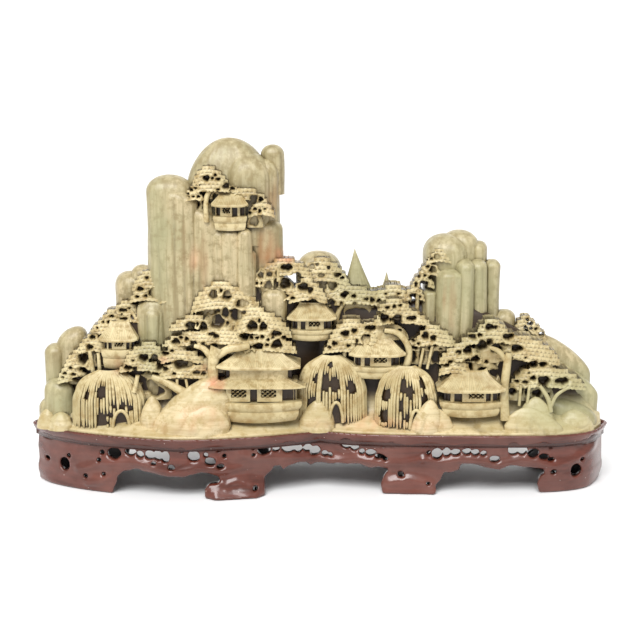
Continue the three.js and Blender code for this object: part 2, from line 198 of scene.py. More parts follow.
def ramp(finish, source, *stops):
    """Turns a number into a grey level by stops of (place, level)."""
    made = node(finish, "ShaderNodeValToRGB")
    elements = made.color_ramp.elements
    while len(elements) < len(stops):
        elements.new(0.5)
    for element, (place, level) in zip(elements, stops):
        element.position = place
        element.color = (level, level, level, 1)
    link(finish, source, made.inputs[0])
    return made.outputs[0]


lacquer = bpy.data.materials.new("ox_blood_lacquer")
lacquer.use_nodes = True
lacquer_shader = lacquer.node_tree.nodes["Principled BSDF"]
lacquer_place = node(lacquer, "ShaderNodeTexCoord").outputs["Object"]
grain_stretch = node(lacquer, "ShaderNodeMapping", in_Scale=(6, 40, 60))
link(lacquer, lacquer_place, grain_stretch.inputs["Vector"])
grain = node(lacquer, "ShaderNodeTexNoise", in_Scale=2.4, in_Detail=6, in_Roughness=0.6)
link(lacquer, grain_stretch.outputs[0], grain.inputs["Vector"])
patches = node(lacquer, "ShaderNodeTexNoise", in_Scale=22, in_Detail=4)
link(lacquer, lacquer_place, patches.inputs["Vector"])
specks = node(lacquer, "ShaderNodeTexVoronoi", in_Scale=95)
link(lacquer, lacquer_place, specks.inputs["Vector"])
wood_colour = blend(
    lacquer, ramp(lacquer, grain.outputs[0], (0.35, 0), (0.7, 1)), (0.075, 0.017, 0.009, 1), (0.15, 0.036, 0.021, 1)
)
wood_colour = blend(
    lacquer, ramp(lacquer, patches.outputs[0], (0.42, 0), (0.68, 0.6)), wood_colour, (0.19, 0.075, 0.056, 1)
)
wood_colour = blend(
    lacquer, ramp(lacquer, specks.outputs["Distance"], (0.035, 1), (0.055, 0)), wood_colour, (0.55, 0.42, 0.36, 1)
)
# Near-black painted shade on the wood where the attribute says: in the apron's recesses and on the seat under the
# stone.
wood_painted_shade = node(lacquer, "ShaderNodeAttribute", attribute_name="dirt_and_shade").outputs["Fac"]
wood_colour = blend(lacquer, wood_painted_shade, wood_colour, (0.006, 0.004, 0.004, 1))
link(lacquer, wood_colour, lacquer_shader.inputs["Base Color"])
lacquer_shader.inputs["Roughness"].default_value = 0.27
lacquer_shader.inputs["Coat Weight"].default_value = 0.35
lacquer_shader.inputs["Coat Roughness"].default_value = 0.12

# How far the outer face stands out from the rim's plan at each height
FACE_HEIGHTS = (-3, 0, 2, 7, 14, 22, 28, 36, 43, 50, 54, 57.5, 60, 61.5, 63)
FACE_OUT = (-2.5, -1, -0.2, -0.6, -2.2, -3.6, -3.4, -3.2, -3.8, -4, -3.2, -1.7, -0.7, 0, -0.2)
INNER_FACE = -14.5
# Feet as (left, right, how far they splay)
FEET = [(-303, -206, -5), (-114, -56, 8), (63, 124, 1), (219, 303, -7)]
# Gaps between the feet as outlines in x and z, open from front to back
FOOT_GAPS = [
    [(-211, -9), (-213, 2), (-209, 11), (-208, 19), (-200, 25), (-185, 29), (-178, 27), (-170, 24.5), (-160, 23),
     (-150, 22), (-143, 21.5), (-135, 22.5), (-128, 26), (-120, 27), (-111, 25), (-103, 22.5), (-101, 18),
     (-105, 15), (-113, 14), (-117, 9), (-118, 2), (-114, -9)],
    [(-57, -9), (-55, 2), (-57, 11), (-56, 18), (-52, 23), (-47, 29), (-41, 29.5), (-37.5, 25.5), (-31.5, 27),
     (-23.5, 30), (-14, 29.5), (-10, 25), (-4, 27.5), (8, 27.5), (18, 29.5), (29, 29.5), (40, 30.5), (45, 28.5),
     (52, 26.5), (62, 27.5), (69, 26), (71, 22.5), (65, 17), (63, 9), (64, 2), (66, -9)],
    [(118, -9), (119, 4), (117, 9), (124, 14), (127, 23), (136, 23), (143, 25), (145, 31), (154, 32.5), (161, 31),
     (173, 27), (184, 26), (193, 29.5), (207, 28.5), (219, 27.5), (229, 26), (230, 21.5), (225, 17), (223, 10),
     (225, 4), (229, -9)],
]
# Pierced holes as (x, z, half width, half height); the first list is cut from the front
FRONT_HOLES = [
    (-210, 43, 7.4, 6), (-223, 43, 2.6, 2.6), (-227, 35, 2.4, 2.4), (-193, 46, 6, 4), (-183, 44, 4.2, 3.6),
    (-173, 44, 5.4, 4.7), (-164, 44, 5.2, 5.4), (-157, 43, 4.4, 6.2), (-169, 36, 3, 2), (-151, 32, 3.6, 3),
    (-140, 51, 2.3, 2.3), (-128, 44, 6.2, 5.8), (-116, 45, 2.6, 2.6), (-111, 38, 5.4, 4.4), (-101, 33, 4, 2.6),
    (-103, 50, 2.2, 2.2), (-97, 43, 2.3, 2.3), (-265, 25, 5.4, 6.7), (-260, 35, 2.1, 2.6), (-285, 27, 2.7, 2.7),
    (-284, 51, 5.4, 3), (-242, 16, 2.3, 2.3), (-222, 20, 2.2, 2.1), (-57, 47, 6.6, 5), (-68, 50, 2, 2),
    (-68, 43, 2, 1.8), (-45, 47, 3.5, 2.9), (-32, 48, 7.4, 6), (-22, 45, 4.3, 4), (-13, 45, 4.6, 4.2),
    (-5, 41, 5.6, 5), (5, 38, 3.4, 2.8), (11, 37, 2.3, 2.3), (27, 51, 6, 6), (36, 47, 5.2, 3.4), (43, 43, 3.6, 3),
    (52, 42, 5.8, 3.6), (61, 38.5, 5.2, 2.7), (67, 36, 2.6, 2), (65, 51, 1.9, 1.9), (73, 52, 2.2, 2),
    (-66, 9, 2.6, 2.8), (83, 20, 3.2, 2.8), (111, 43, 2.2, 2.4), (120, 42, 5.4, 5.6), (130, 44, 4.2, 4.7),
    (139, 44, 5, 3.8), (150, 45, 4.6, 3.6), (159, 44, 4.3, 3.5), (167, 43, 3.7, 2.8), (179, 37, 5.4, 3.4),
    (198, 48, 5.8, 6.8), (207, 46, 4.8, 4.8), (218, 43, 6, 4.7), (229, 39, 4.8, 3.1), (237, 36, 3.1, 2),
    (228, 53, 2.1, 2.1), (236, 49, 2, 1.7), (111, 11, 2, 1.8), (240, 23, 3, 2.7), (264, 22, 5.8, 7),
    (270, 34, 2.1, 2.5), (282, 53, 5.6, 4.4), (272, 52, 1.8, 2.6),
]
BACK_HOLES = [
    (-190, 44, 8, 5), (-176, 42, 6, 5), (-160, 43, 4, 4), (-28, 46, 8, 5), (-14, 44, 5, 4), (24, 45, 8, 5),
    (40, 43, 5, 4), (168, 43, 6, 5), (182, 42, 8, 4), (-255, 30, 5, 6), (255, 28, 5, 6),
]
# Raised root strands carved on the face, as runs of (x, z)
ROOTS = [
    [(-250, 22), (-228, 31), (-205, 35), (-185, 35), (-165, 30), (-148, 27), (-125, 32), (-100, 28), (-80, 30)],
    [(-78, 44), (-62, 39), (-45, 39), (-25, 37), (-5, 33), (15, 32), (40, 35), (62, 31), (85, 31), (104, 36)],
    [(106, 37), (125, 34), (145, 36), (165, 35), (185, 31), (205, 36), (222, 34), (240, 29), (262, 34), (284, 44)],
    [(-240, 8), (-222, 14), (-212, 22)], [(-108, 20), (-95, 14), (-84, 18), (-70, 14)], [(70, 12), (90, 16), (112, 10)],
]
GRAIN = 1.5


def outline_distance(x, z, outline):
    """How far each place is from a closed outline, negative inside it."""
    corners = np.asarray(outline, float)
    nearest = np.full(x.shape, 1e9)
    inside = np.zeros(x.shape, bool)
    for (ax, az), (bx, bz) in zip(corners, np.roll(corners, -1, 0)):
        along = np.clip(((x - ax) * (bx - ax) + (z - az) * (bz - az)) / ((bx - ax) ** 2 + (bz - az) ** 2), 0, 1)
        nearest = np.minimum(nearest, np.hypot(x - ax - along * (bx - ax), z - az - along * (bz - az)))
        inside ^= ((az > z) != (bz > z)) & (x < (bx - ax) * (z - az) / (bz - az + 1e-9) + ax)
    return np.where(inside, -nearest, nearest)


def run_distance(x, z, run):
    """How far each place is from an open run of points."""
    nearest = np.full(x.shape, 1e9)
    for (ax, az), (bx, bz) in zip(run[:-1], run[1:]):
        along = np.clip(((x - ax) * (bx - ax) + (z - az) * (bz - az)) / ((bx - ax) ** 2 + (bz - az) ** 2), 0, 1)
        nearest = np.minimum(nearest, np.hypot(x - ax - along * (bx - ax), z - az - along * (bz - az)))
    return nearest


def soft_cut(body, tool, radius):
    """Cuts one distance field from another and rounds the edge that is left."""
    blend_share = np.clip(0.5 - 0.5 * (body + tool) / radius, 0, 1)
    return mix(body, -tool, blend_share) + radius * blend_share * (1 - blend_share)


xs = np.arange(-306, 306 + GRAIN, GRAIN)
ys = np.arange(-84, 84 + GRAIN, GRAIN)
zs = np.arange(-3, 66 + GRAIN, GRAIN)
ring = np.stack(rim_point(np.linspace(0, 1, 1400, endpoint=False)), 1)
plan_x, plan_y = np.meshgrid(xs, ys, indexing="ij")
from_rim = np.stack([
    np.sqrt(((plan_x[i, :, None] - ring[None, :, 0]) ** 2 + (plan_y[i, :, None] - ring[None, :, 1]) ** 2).min(1))
    for i in range(len(xs))
])
within_plan = (plan_y > front_rim(plan_x)) & (plan_y < back_rim(plan_x)) & (np.abs(plan_x) < HALF_LENGTH)
from_rim = np.where(within_plan, -from_rim, from_rim)[:, :, None]
x3, y3, z3 = xs[:, None, None], ys[None, :, None], zs[None, None]
side_x, side_z = x3[:, 0], z3[:, 0]
splay = np.interp(xs, [-212, -206, -114, -106, -64, -56, 63, 70, 117, 124, 219, 226], [-5, 0, 0, 8, 8, 0, 0, 1, 1, 0, 0, -7])
face = np.interp(zs, FACE_HEIGHTS, FACE_OUT)[None] + splay[:, None] * np.clip((20 - zs[None]) / 20, 0, 1) ** 1.4
carve_zone = ease(0, 6, side_z) * ease(57, 50, side_z)
for run in ROOTS:
    face = face + 2.2 * carve_zone * np.exp(-((run_distance(side_x + 0 * side_z, side_z + 0 * side_x, run) / 4.2) ** 2))
face = face - 1.2 * carve_zone + 0.9 * carve_zone * waver(side_x, 0, side_z, 15, 21)
wood = np.maximum(from_rim - face[:, None], INNER_FACE - from_rim)
wood = np.maximum(wood, np.maximum(0.2 - z3 + 0.0 * x3, z3 - RIM_TOP))
lip = (z3 > 59.5) & (from_rim < -RIM_WIDTH)
wood = np.where(lip, np.maximum(wood, -RIM_WIDTH - from_rim), wood)
gap_x, gap_z = side_x + 0 * side_z, side_z + 0 * side_x
for outline in FOOT_GAPS:
    gap = outline_distance(gap_x, gap_z, outline) + 0.7 * waver(gap_x, 0, gap_z, 7, 22)
    wood = soft_cut(wood, gap[:, None] + 0 * y3, 2.4)
for holes, at_front in ((FRONT_HOLES, True), (BACK_HOLES, False)):
    pierced = np.full(gap_x.shape, 1e3)
    for x, z, wide, high in holes:
        reach = np.hypot((gap_x - x) / wide, (gap_z - z) / high)
        pierced = np.minimum(pierced, (reach - 1) * min(wide, high))
    pierced = pierced + 0.35 * waver(gap_x, 0, gap_z, 5, 23)
    half = (y3 < 8) if at_front else (y3 > 8)
    wood = np.where(half, soft_cut(wood, np.clip(pierced, -9, 30)[:, None] + 0 * y3, 1.6), wood)
grid = vdb.FloatGrid(background=30.0)
grid.copyFromArray(np.ascontiguousarray(wood, np.float32))
wood_points, wood_faces = grid.convertToQuads(isovalue=0.0)
wood_points = wood_points * GRAIN + (xs[0], ys[0], zs[0])
cell = np.clip(np.round((wood_points - (xs[0], ys[0], zs[0])) / GRAIN).astype(int), 0, np.array(wood.shape) - 1)
# Painted shade: the apron is darkened towards near black wherever its surface is sunk deep behind the face, in holes
# and gaps.
sunk = (from_rim[:, :, 0][cell[:, 0], cell[:, 1]] - face[cell[:, 0], cell[:, 2]])
apron_painted_shade = 0.95 * ease(-2.5, -6, sunk) * (wood_points[:, 2] < 58)
stand = carved(
    "stand_apron", [(wood_points, wood_faces[:, ::-1], apron_painted_shade)], lacquer, "stand",
)
deck_turns = np.linspace(0, 1, 240, endpoint=False)
deck_rows = [rim_offset(deck_turns, out) for out in (-12, -RIM_WIDTH - 0.3, -RIM_WIDTH - 0.3, -12)]
deck_x = np.stack([0 * deck_turns] + [x for x, _ in deck_rows] + [0 * deck_turns])
deck_y = np.stack([0 * deck_turns] + [y for _, y in deck_rows] + [0 * deck_turns])
deck_z = np.array([DECK_UNDER, DECK_UNDER, DECK_UNDER, SEAT, SEAT, SEAT])[:, None] - 0.3
# The seat under the stone carries half-strength painted shade.
carved("stand_deck", [skin(deck_x, deck_y, deck_z, True, 0.5)], lacquer, "stand")

# The soapstone. The whole landscape is cut from one block of pale green-yellow stone with rusty
# veins, smoothed and waxed; what lies deep is darkened by old dirt and by painted shade. The ground
# is a low shelf that rolls up from the rim of the stand to a ridge behind the trees.
# Dark brown for old dirt and for painted shade in deep places.
DIRT_AND_SHADE_DARK = (0.035, 0.018, 0.006, 1)
RUST = (0.36, 0.15, 0.05, 1)
BLUSH = (0.70, 0.36, 0.20, 1)
LEAF_GREEN = (0.36, 0.37, 0.20, 1)


def soapstone(name, low, high, speck, streak, stretch):
    """The stone in one of its tones: clouded, freckled, streaked by the chisel, stained, darkened by dirt and painted
    shade, and waxed.
    """
    stone = bpy.data.materials.new(name)
    stone.use_nodes = True
    shader = stone.node_tree.nodes["Principled BSDF"]
    place = node(stone, "ShaderNodeTexCoord").outputs["Object"]
    clouds = node(stone, "ShaderNodeTexNoise", in_Scale=16, in_Detail=5, in_Roughness=0.6)
    link(stone, place, clouds.inputs["Vector"])
    colour = blend(stone, ramp(stone, clouds.outputs[0], (0.36, 0), (0.66, 1)), low, high)
    freckles = node(stone, "ShaderNodeTexNoise", in_Scale=120, in_Detail=6, in_Roughness=0.7)
    link(stone, place, freckles.inputs["Vector"])
    colour = blend(stone, ramp(stone, freckles.outputs[0], (0.36, 0.85), (0.52, 0)), colour, speck)
    combed = node(stone, "ShaderNodeMapping", in_Scale=stretch)
    link(stone, place, combed.inputs["Vector"])
    chisel = node(stone, "ShaderNodeTexNoise", in_Scale=1, in_Detail=5, in_Roughness=0.65)
    link(stone, combed.outputs[0], chisel.inputs["Vector"])
    colour = blend(stone, ramp(stone, chisel.outputs[0], (0.40, streak), (0.56, 0)), colour, speck)
    # The last attribute darkens the stone towards dark brown: old dirt, and painted shade in hollows, grooves and
    # undersides.
    for stain, tone in (("green", LEAF_GREEN), ("blush", BLUSH), ("rust", RUST), ("dirt_and_shade", DIRT_AND_SHADE_DARK)):
        amount = node(stone, "ShaderNodeAttribute", attribute_name=stain).outputs["Fac"]
        colour = blend(stone, amount, colour, tone)
    link(stone, colour, shader.inputs["Base Color"])
    shader.inputs["Roughness"].default_value = 0.4
    bump = node(stone, "ShaderNodeBump", in_Strength=0.35, in_Distance=0.0006)
    link(stone, chisel.outputs[0], bump.inputs["Height"])
    link(stone, bump.outputs[0], shader.inputs["Normal"])
    return stone


ground_stone = soapstone(
    "soapstone_ground", (0.56, 0.47, 0.26, 1), (0.72, 0.59, 0.36, 1), (0.42, 0.31, 0.13, 1), 0.5, (14, 60, 260)
)
rock_stone = soapstone(
    "soapstone_rock", (0.42, 0.375, 0.21, 1), (0.60, 0.49, 0.29, 1), (0.30, 0.235, 0.11, 1), 0.75, (150, 150, 9)
)
leaf_stone = soapstone(
    "soapstone_foliage", (0.50, 0.41, 0.21, 1), (0.72, 0.60, 0.34, 1), (0.38, 0.27, 0.11, 1), 0.4, (60, 60, 60)
)

GROUND = 80
STONE_SET_IN = -4.7
CREST = [
    (-303, 64), (-270, 100), (-240, 152), (-210, 172), (-150, 200), (-90, 215), (-20, 208), (45, 192),
    (90, 192), (150, 190), (205, 162), (240, 134), (276, 88), (303, 64),
]
stone_pieces = []


def hill_front(z):
    return -26 + 0.12 * np.maximum(0, z - GROUND)


def stone_piece(name, skins, finish, crisp=None):
    piece = carved(name, skins, finish, "mountain_carving", crisp)
    stone_pieces.append(piece)
    return piece


stations = np.linspace(-294, 294, 440)
near = np.interp(stations, *rim_offset(np.linspace(0.002, 0.498, 1500), STONE_SET_IN))
far = np.interp(stations, *rim_offset(np.linspace(0.998, 0.502, 1500), STONE_SET_IN))
crest = np.interp(stations, *spline(CREST, np.linspace(0, 1, 600)).T)
shelf = np.minimum(GROUND, mix(SEAT, crest, 0.6))
hill_section = np.stack([
    np.stack([near, near, np.maximum(-26, mix(near, far, 0.25)), np.maximum(hill_front(crest), mix(near, far, 0.42)),
              np.minimum(20, mix(near, far, 0.6)), np.minimum(40, mix(near, far, 0.75)), far, far]),
    np.stack([0 * near + SEAT, 0 * near + SEAT + 4, shelf, crest, crest, mix(SEAT, crest, 0.6), 0 * near + SEAT + 4,
              0 * near + SEAT]),
], -1)
CORNER_SHARES = np.array([0, 0.03, 0.3, 0.55, 0.68, 0.8, 0.97, 1])
section_shares = np.linspace(0, 1, 100)
hill = np.stack([
    np.stack([np.interp(section_shares, CORNER_SHARES, hill_section[:, i, axis]) for i in range(len(stations))], 1)
    for axis in (0, 1)
])
for _ in range(14):
    hill[:, 5:-5] = (hill[:, 4:-6] + 2 * hill[:, 5:-5] + hill[:, 6:-4]) / 4
hill_y, hill_z = hill
hill_x = np.broadcast_to(stations, hill_y.shape)
free = (ease(0.03, 0.09, section_shares) * ease(0.97, 0.9, section_shares))[:, None]
rolling = 1.8 * waver(hill_x, hill_y, hill_z, 42, 3) + 0.6 * waver(hill_x, hill_y, hill_z, 13, 4)
creases = 1.2 * ease(0.16, 0, np.abs(waver(hill_x, 0.6 * hill_y, hill_z, 60, 6)))
hill_z = hill_z + free * (rolling - creases)
# Painted shade on the high hill face behind the canopies and in the hill's creases.
hill_painted_shade = np.maximum(ease(86, 100, hill_z) * ease(24, 12, hill_y), 0.25 * free * creases)
ground = stone_piece("ground_and_ridge", [skin(hill_x, hill_y, hill_z, False, hill_painted_shade)], ground_stone)

# The standing rocks. Tall fluted fingers with rounded heads, cut from the same block; the great
# heads have grooves that close over them in nested arches.
LEFT_PEAKS = [
    dict(x=-152, y=5, base=90, top=322, wide=24, deep=22, lean=-2, ribs=2, head=0.75),
    dict(x=-143, y=-2, base=90, top=309, wide=19, deep=18, ribs=2, tilt=0.2, head=0.7),
    dict(x=-119, y=0, base=90, top=290, wide=18, deep=16, tilt=0.35, ribs=2, head=0.8),
    dict(x=-102, y=-5, base=120, top=268, wide=10, deep=10, ribs=1.5),
    dict(x=-94, y=25, base=90, top=358, wide=46, deep=30, ribs=3, head=1.55, arched=1),
    dict(x=-74, y=19, base=250, top=344, wide=26, deep=27, ribs=2, head=1.2, arched=1),
    dict(x=-49, y=24, base=300, top=351, wide=12, deep=13, ribs=1, arched=1),
    dict(x=-57, y=20, base=90, top=338, wide=16, deep=18, ribs=3, head=1.4),
    dict(x=-57, y=10, base=90, top=276, wide=19, deep=17, ribs=5, head=0.6),
    dict(x=-91, y=-9, base=200, top=269, wide=10, deep=9, ribs=2),
    dict(x=-77, y=-11, base=170, top=269, wide=8, deep=9, ribs=2),
    dict(x=-72, y=-9, base=170, top=246, wide=6, deep=8, ribs=1),
    dict(x=-199, y=22, base=70, top=219, wide=17, deep=18, ribs=1.5),
    dict(x=-186, y=20, base=70, top=226, wide=12, deep=15, ribs=1.5),
    dict(x=-173, y=-5, base=70, top=197, wide=17, deep=15, ribs=1.5, arched=1),
    dict(x=-172, y=-9, base=70, top=189, wide=11, deep=15, ribs=1, arched=1),
    dict(x=-262, y=6, base=64, top=162, wide=17, deep=15, lean=3, tilt=-0.3, ribs=2),
    dict(x=-277, y=2, base=64, top=146, wide=11, deep=13, lean=1, ribs=1.5),
    dict(x=-272, y=-13, base=64, top=112, wide=17, deep=14, ribs=1, head=0.8),
    dict(x=-280, y=-12, base=64, top=92, wide=12, deep=13, ribs=1),
    dict(x=-47, y=-5, base=90, top=206, wide=14, deep=13, ribs=2.5, head=0.7),
]
RIGHT_PEAKS = [
    dict(x=-2, y=24, base=80, top=240, wide=24, deep=22, ribs=2, arched=1),
    dict(x=43, y=16, base=150, top=244, wide=38, deep=26, lean=-7, pointed=True, ribs=4),
    dict(x=70, y=24, base=150, top=218, wide=22, deep=20, pointed=True, ribs=3),
    dict(x=131, y=20, base=80, top=259, wide=24, deep=24, ribs=2.5, head=1.0, arched=1),
    dict(x=146, y=26, base=80, top=262, wide=20, deep=20, ribs=2, head=0.9, arched=1),
    dict(x=166, y=22, base=90, top=251, wide=9, deep=14, ribs=1, arched=1),
    dict(x=134, y=0, base=90, top=226, wide=15, deep=17, ribs=2, head=0.6),
    dict(x=150, y=2, base=90, top=235, wide=10, deep=16, ribs=1.5),
    dict(x=164, y=8, base=90, top=234, wide=10, deep=14, ribs=1.5),
    dict(x=179, y=14, base=90, top=233, wide=8, deep=12, ribs=1),
    dict(x=114, y=2, base=90, top=204, wide=9, deep=13, ribs=1.5, head=0.6),
    dict(x=193, y=12, base=90, top=180, wide=11, deep=13, ribs=1),
    dict(x=252, y=8, base=64, top=146, wide=34, deep=13, tilt=0.62, ribs=2, head=0.6),
    dict(x=258, y=-1, base=64, top=124, wide=34, deep=14, tilt=0.62, ribs=2, head=0.6),
    dict(x=260, y=-15, base=64, top=92, wide=27, deep=19, tilt=0.35, ribs=0.4, head=0.8),
]


def standing_rock(x, y, base, top, wide, deep, ribs, lean=0, tilt=0, head=1, arched=0, pointed=False, seed=0):
    rng = np.random.default_rng(seed)
    across = int(np.clip(wide * 4, 48, 116)) // 2 * 2
    rows = int(np.clip((top - base) * 0.36, 30, 68))
    if pointed:
        share = np.linspace(0, 1, rows)[:, None]
        rise = share
        span = 1 - share**0.8
        height = base + (top - base) * rise
        crown_gate = 1
    else:
        crown = min(head * wide, 0.75 * (top - base))
        swing = np.linspace(0, np.pi / 2, rows // 2)
        straight = np.linspace(base, top - crown, rows - rows // 2, endpoint=False)
        height = np.r_[straight, top - crown + crown * np.sin(swing)][:, None]
        rise = np.r_[0 * straight, np.sin(swing)][:, None]
        span = np.sqrt(np.maximum(0, 1 - rise**2.3))
        crown_gate = 1 if arched else ease(0.75, 0.2, rise)
    angle = np.linspace(0, 2 * np.pi, across, endpoint=False)[None]
    side = np.sign(np.cos(angle)) * np.abs(np.cos(angle)) ** 0.75
    face = np.sign(np.sin(angle)) * np.abs(np.sin(angle)) ** 0.75
    sideways = span * side
    folds = waver(side * wide, face * deep, 0.25 * height, 22, seed + 50)
    middle = rng.uniform(-0.3, 0.3)
    if arched:
        level = np.hypot(sideways - middle * (1 - rise), rise * 0.95) + 0.05 * folds
    else:
        level = side - middle + 0.08 * folds + 0.04 * waver(0 * side, 0, height, 50, seed + 51)
    ridges = np.abs(np.sin(np.pi * (ribs * level + rng.uniform(0.1, 0.4))))
    gate = np.clip(0.6 + 0.7 * waver(side * wide, 0, 0.5 * height, 40, seed + 60), 0.1, 1) * crown_gate
    cut = 0.11 * min(wide, 22) * (1 - ridges**0.5) * gate * span**0.5
    fine = 0.25 * waver(side * wide, face * deep, 0.12 * height, 3.4, seed + 61) * crown_gate
    swell = 0.8 * folds + 0.9 * waver(x + side * wide, y + face * deep, 0.5 * height, 26, seed + 70) + fine
    px = x + (wide - 0.4 * cut + swell) * sideways
    py = y + (deep - cut + swell) * span * face
    share = (height - base) / (top - base)
    px = px + lean * share
    pz = height + 0 * px - tilt * wide * sideways * share
    # The grooves between the ribs are darkened: painted shade.
    return skin(px, py, pz, True, 0.4 * ((1 - ridges**0.5) * gate) ** 2)


left_rocks = stone_piece(
    "rocks_left", [standing_rock(**size, seed=i) for i, size in enumerate(LEFT_PEAKS)], rock_stone
)
right_rocks = stone_piece(
    "rocks_right", [standing_rock(**size, seed=40 + i) for i, size in enumerate(RIGHT_PEAKS)], rock_stone
)

# Boulders in front of the trees, low and broad, with worn planes and soft edges.
BOULDERS = [
    dict(x=-138, y=-42, base=62, top=121, wide=42, deep=24, lean=27),
    dict(x=-131, y=-52, base=60, top=100, wide=40, deep=17, lean=14),
    dict(x=-172, y=-40, base=64, top=100, wide=14, deep=12),
    dict(x=-4, y=-36, base=62, top=95, wide=20, deep=10, lean=2),
    dict(x=108, y=-46, base=62, top=98, wide=17, deep=9, lean=5),
    dict(x=120, y=-44, base=62, top=88, wide=18, deep=8),
    dict(x=220, y=-39, base=62, top=99, wide=24, deep=12, tilt=-0.15),
    dict(x=222, y=-46, base=62, top=90, wide=32, deep=9, lean=-10),
    dict(x=262, y=-30, base=62, top=84, wide=22, deep=14),
    dict(x=-282, y=-20, base=62, top=84, wide=13, deep=12),
    dict(x=-268, y=-28, base=62, top=80, wide=15, deep=12),
]


def boulder(x, y, base, top, wide, deep, lean=0, tilt=0, seed=0):
    rows, across = 34, 72
    share = np.linspace(0, 1, rows)[:, None]
    span = np.interp(share, [0, 0.3, 0.64, 0.85, 0.96, 1], [1, 0.93, 0.7, 0.42, 0.2, 0])
    angle = np.linspace(0, 2 * np.pi, across, endpoint=False)[None]
    height = base + (top - base) * share
    side, face = np.cos(angle), np.sin(angle)
    plane = waver(side * wide, face * deep * 2, height, 26, seed)
    worn = 1 + 0.07 * np.abs(plane) - 0.04 + 0.03 * waver(side * wide, face * deep, height, 9, seed + 5)
    px = x + wide * span * side * worn + lean * share
    py = y + deep * span * face * worn
    pz = height - tilt * wide * span * side * share
    # Painted shade along the creases between worn planes, strongest low down.
    return skin(px, py, pz + 0 * px, True, 0.22 * ease(0.12, 0, np.abs(plane)) * (1 - share))


boulders = stone_piece("boulders", [boulder(**size, seed=80 + i) for i, size in enumerate(BOULDERS)], ground_stone)

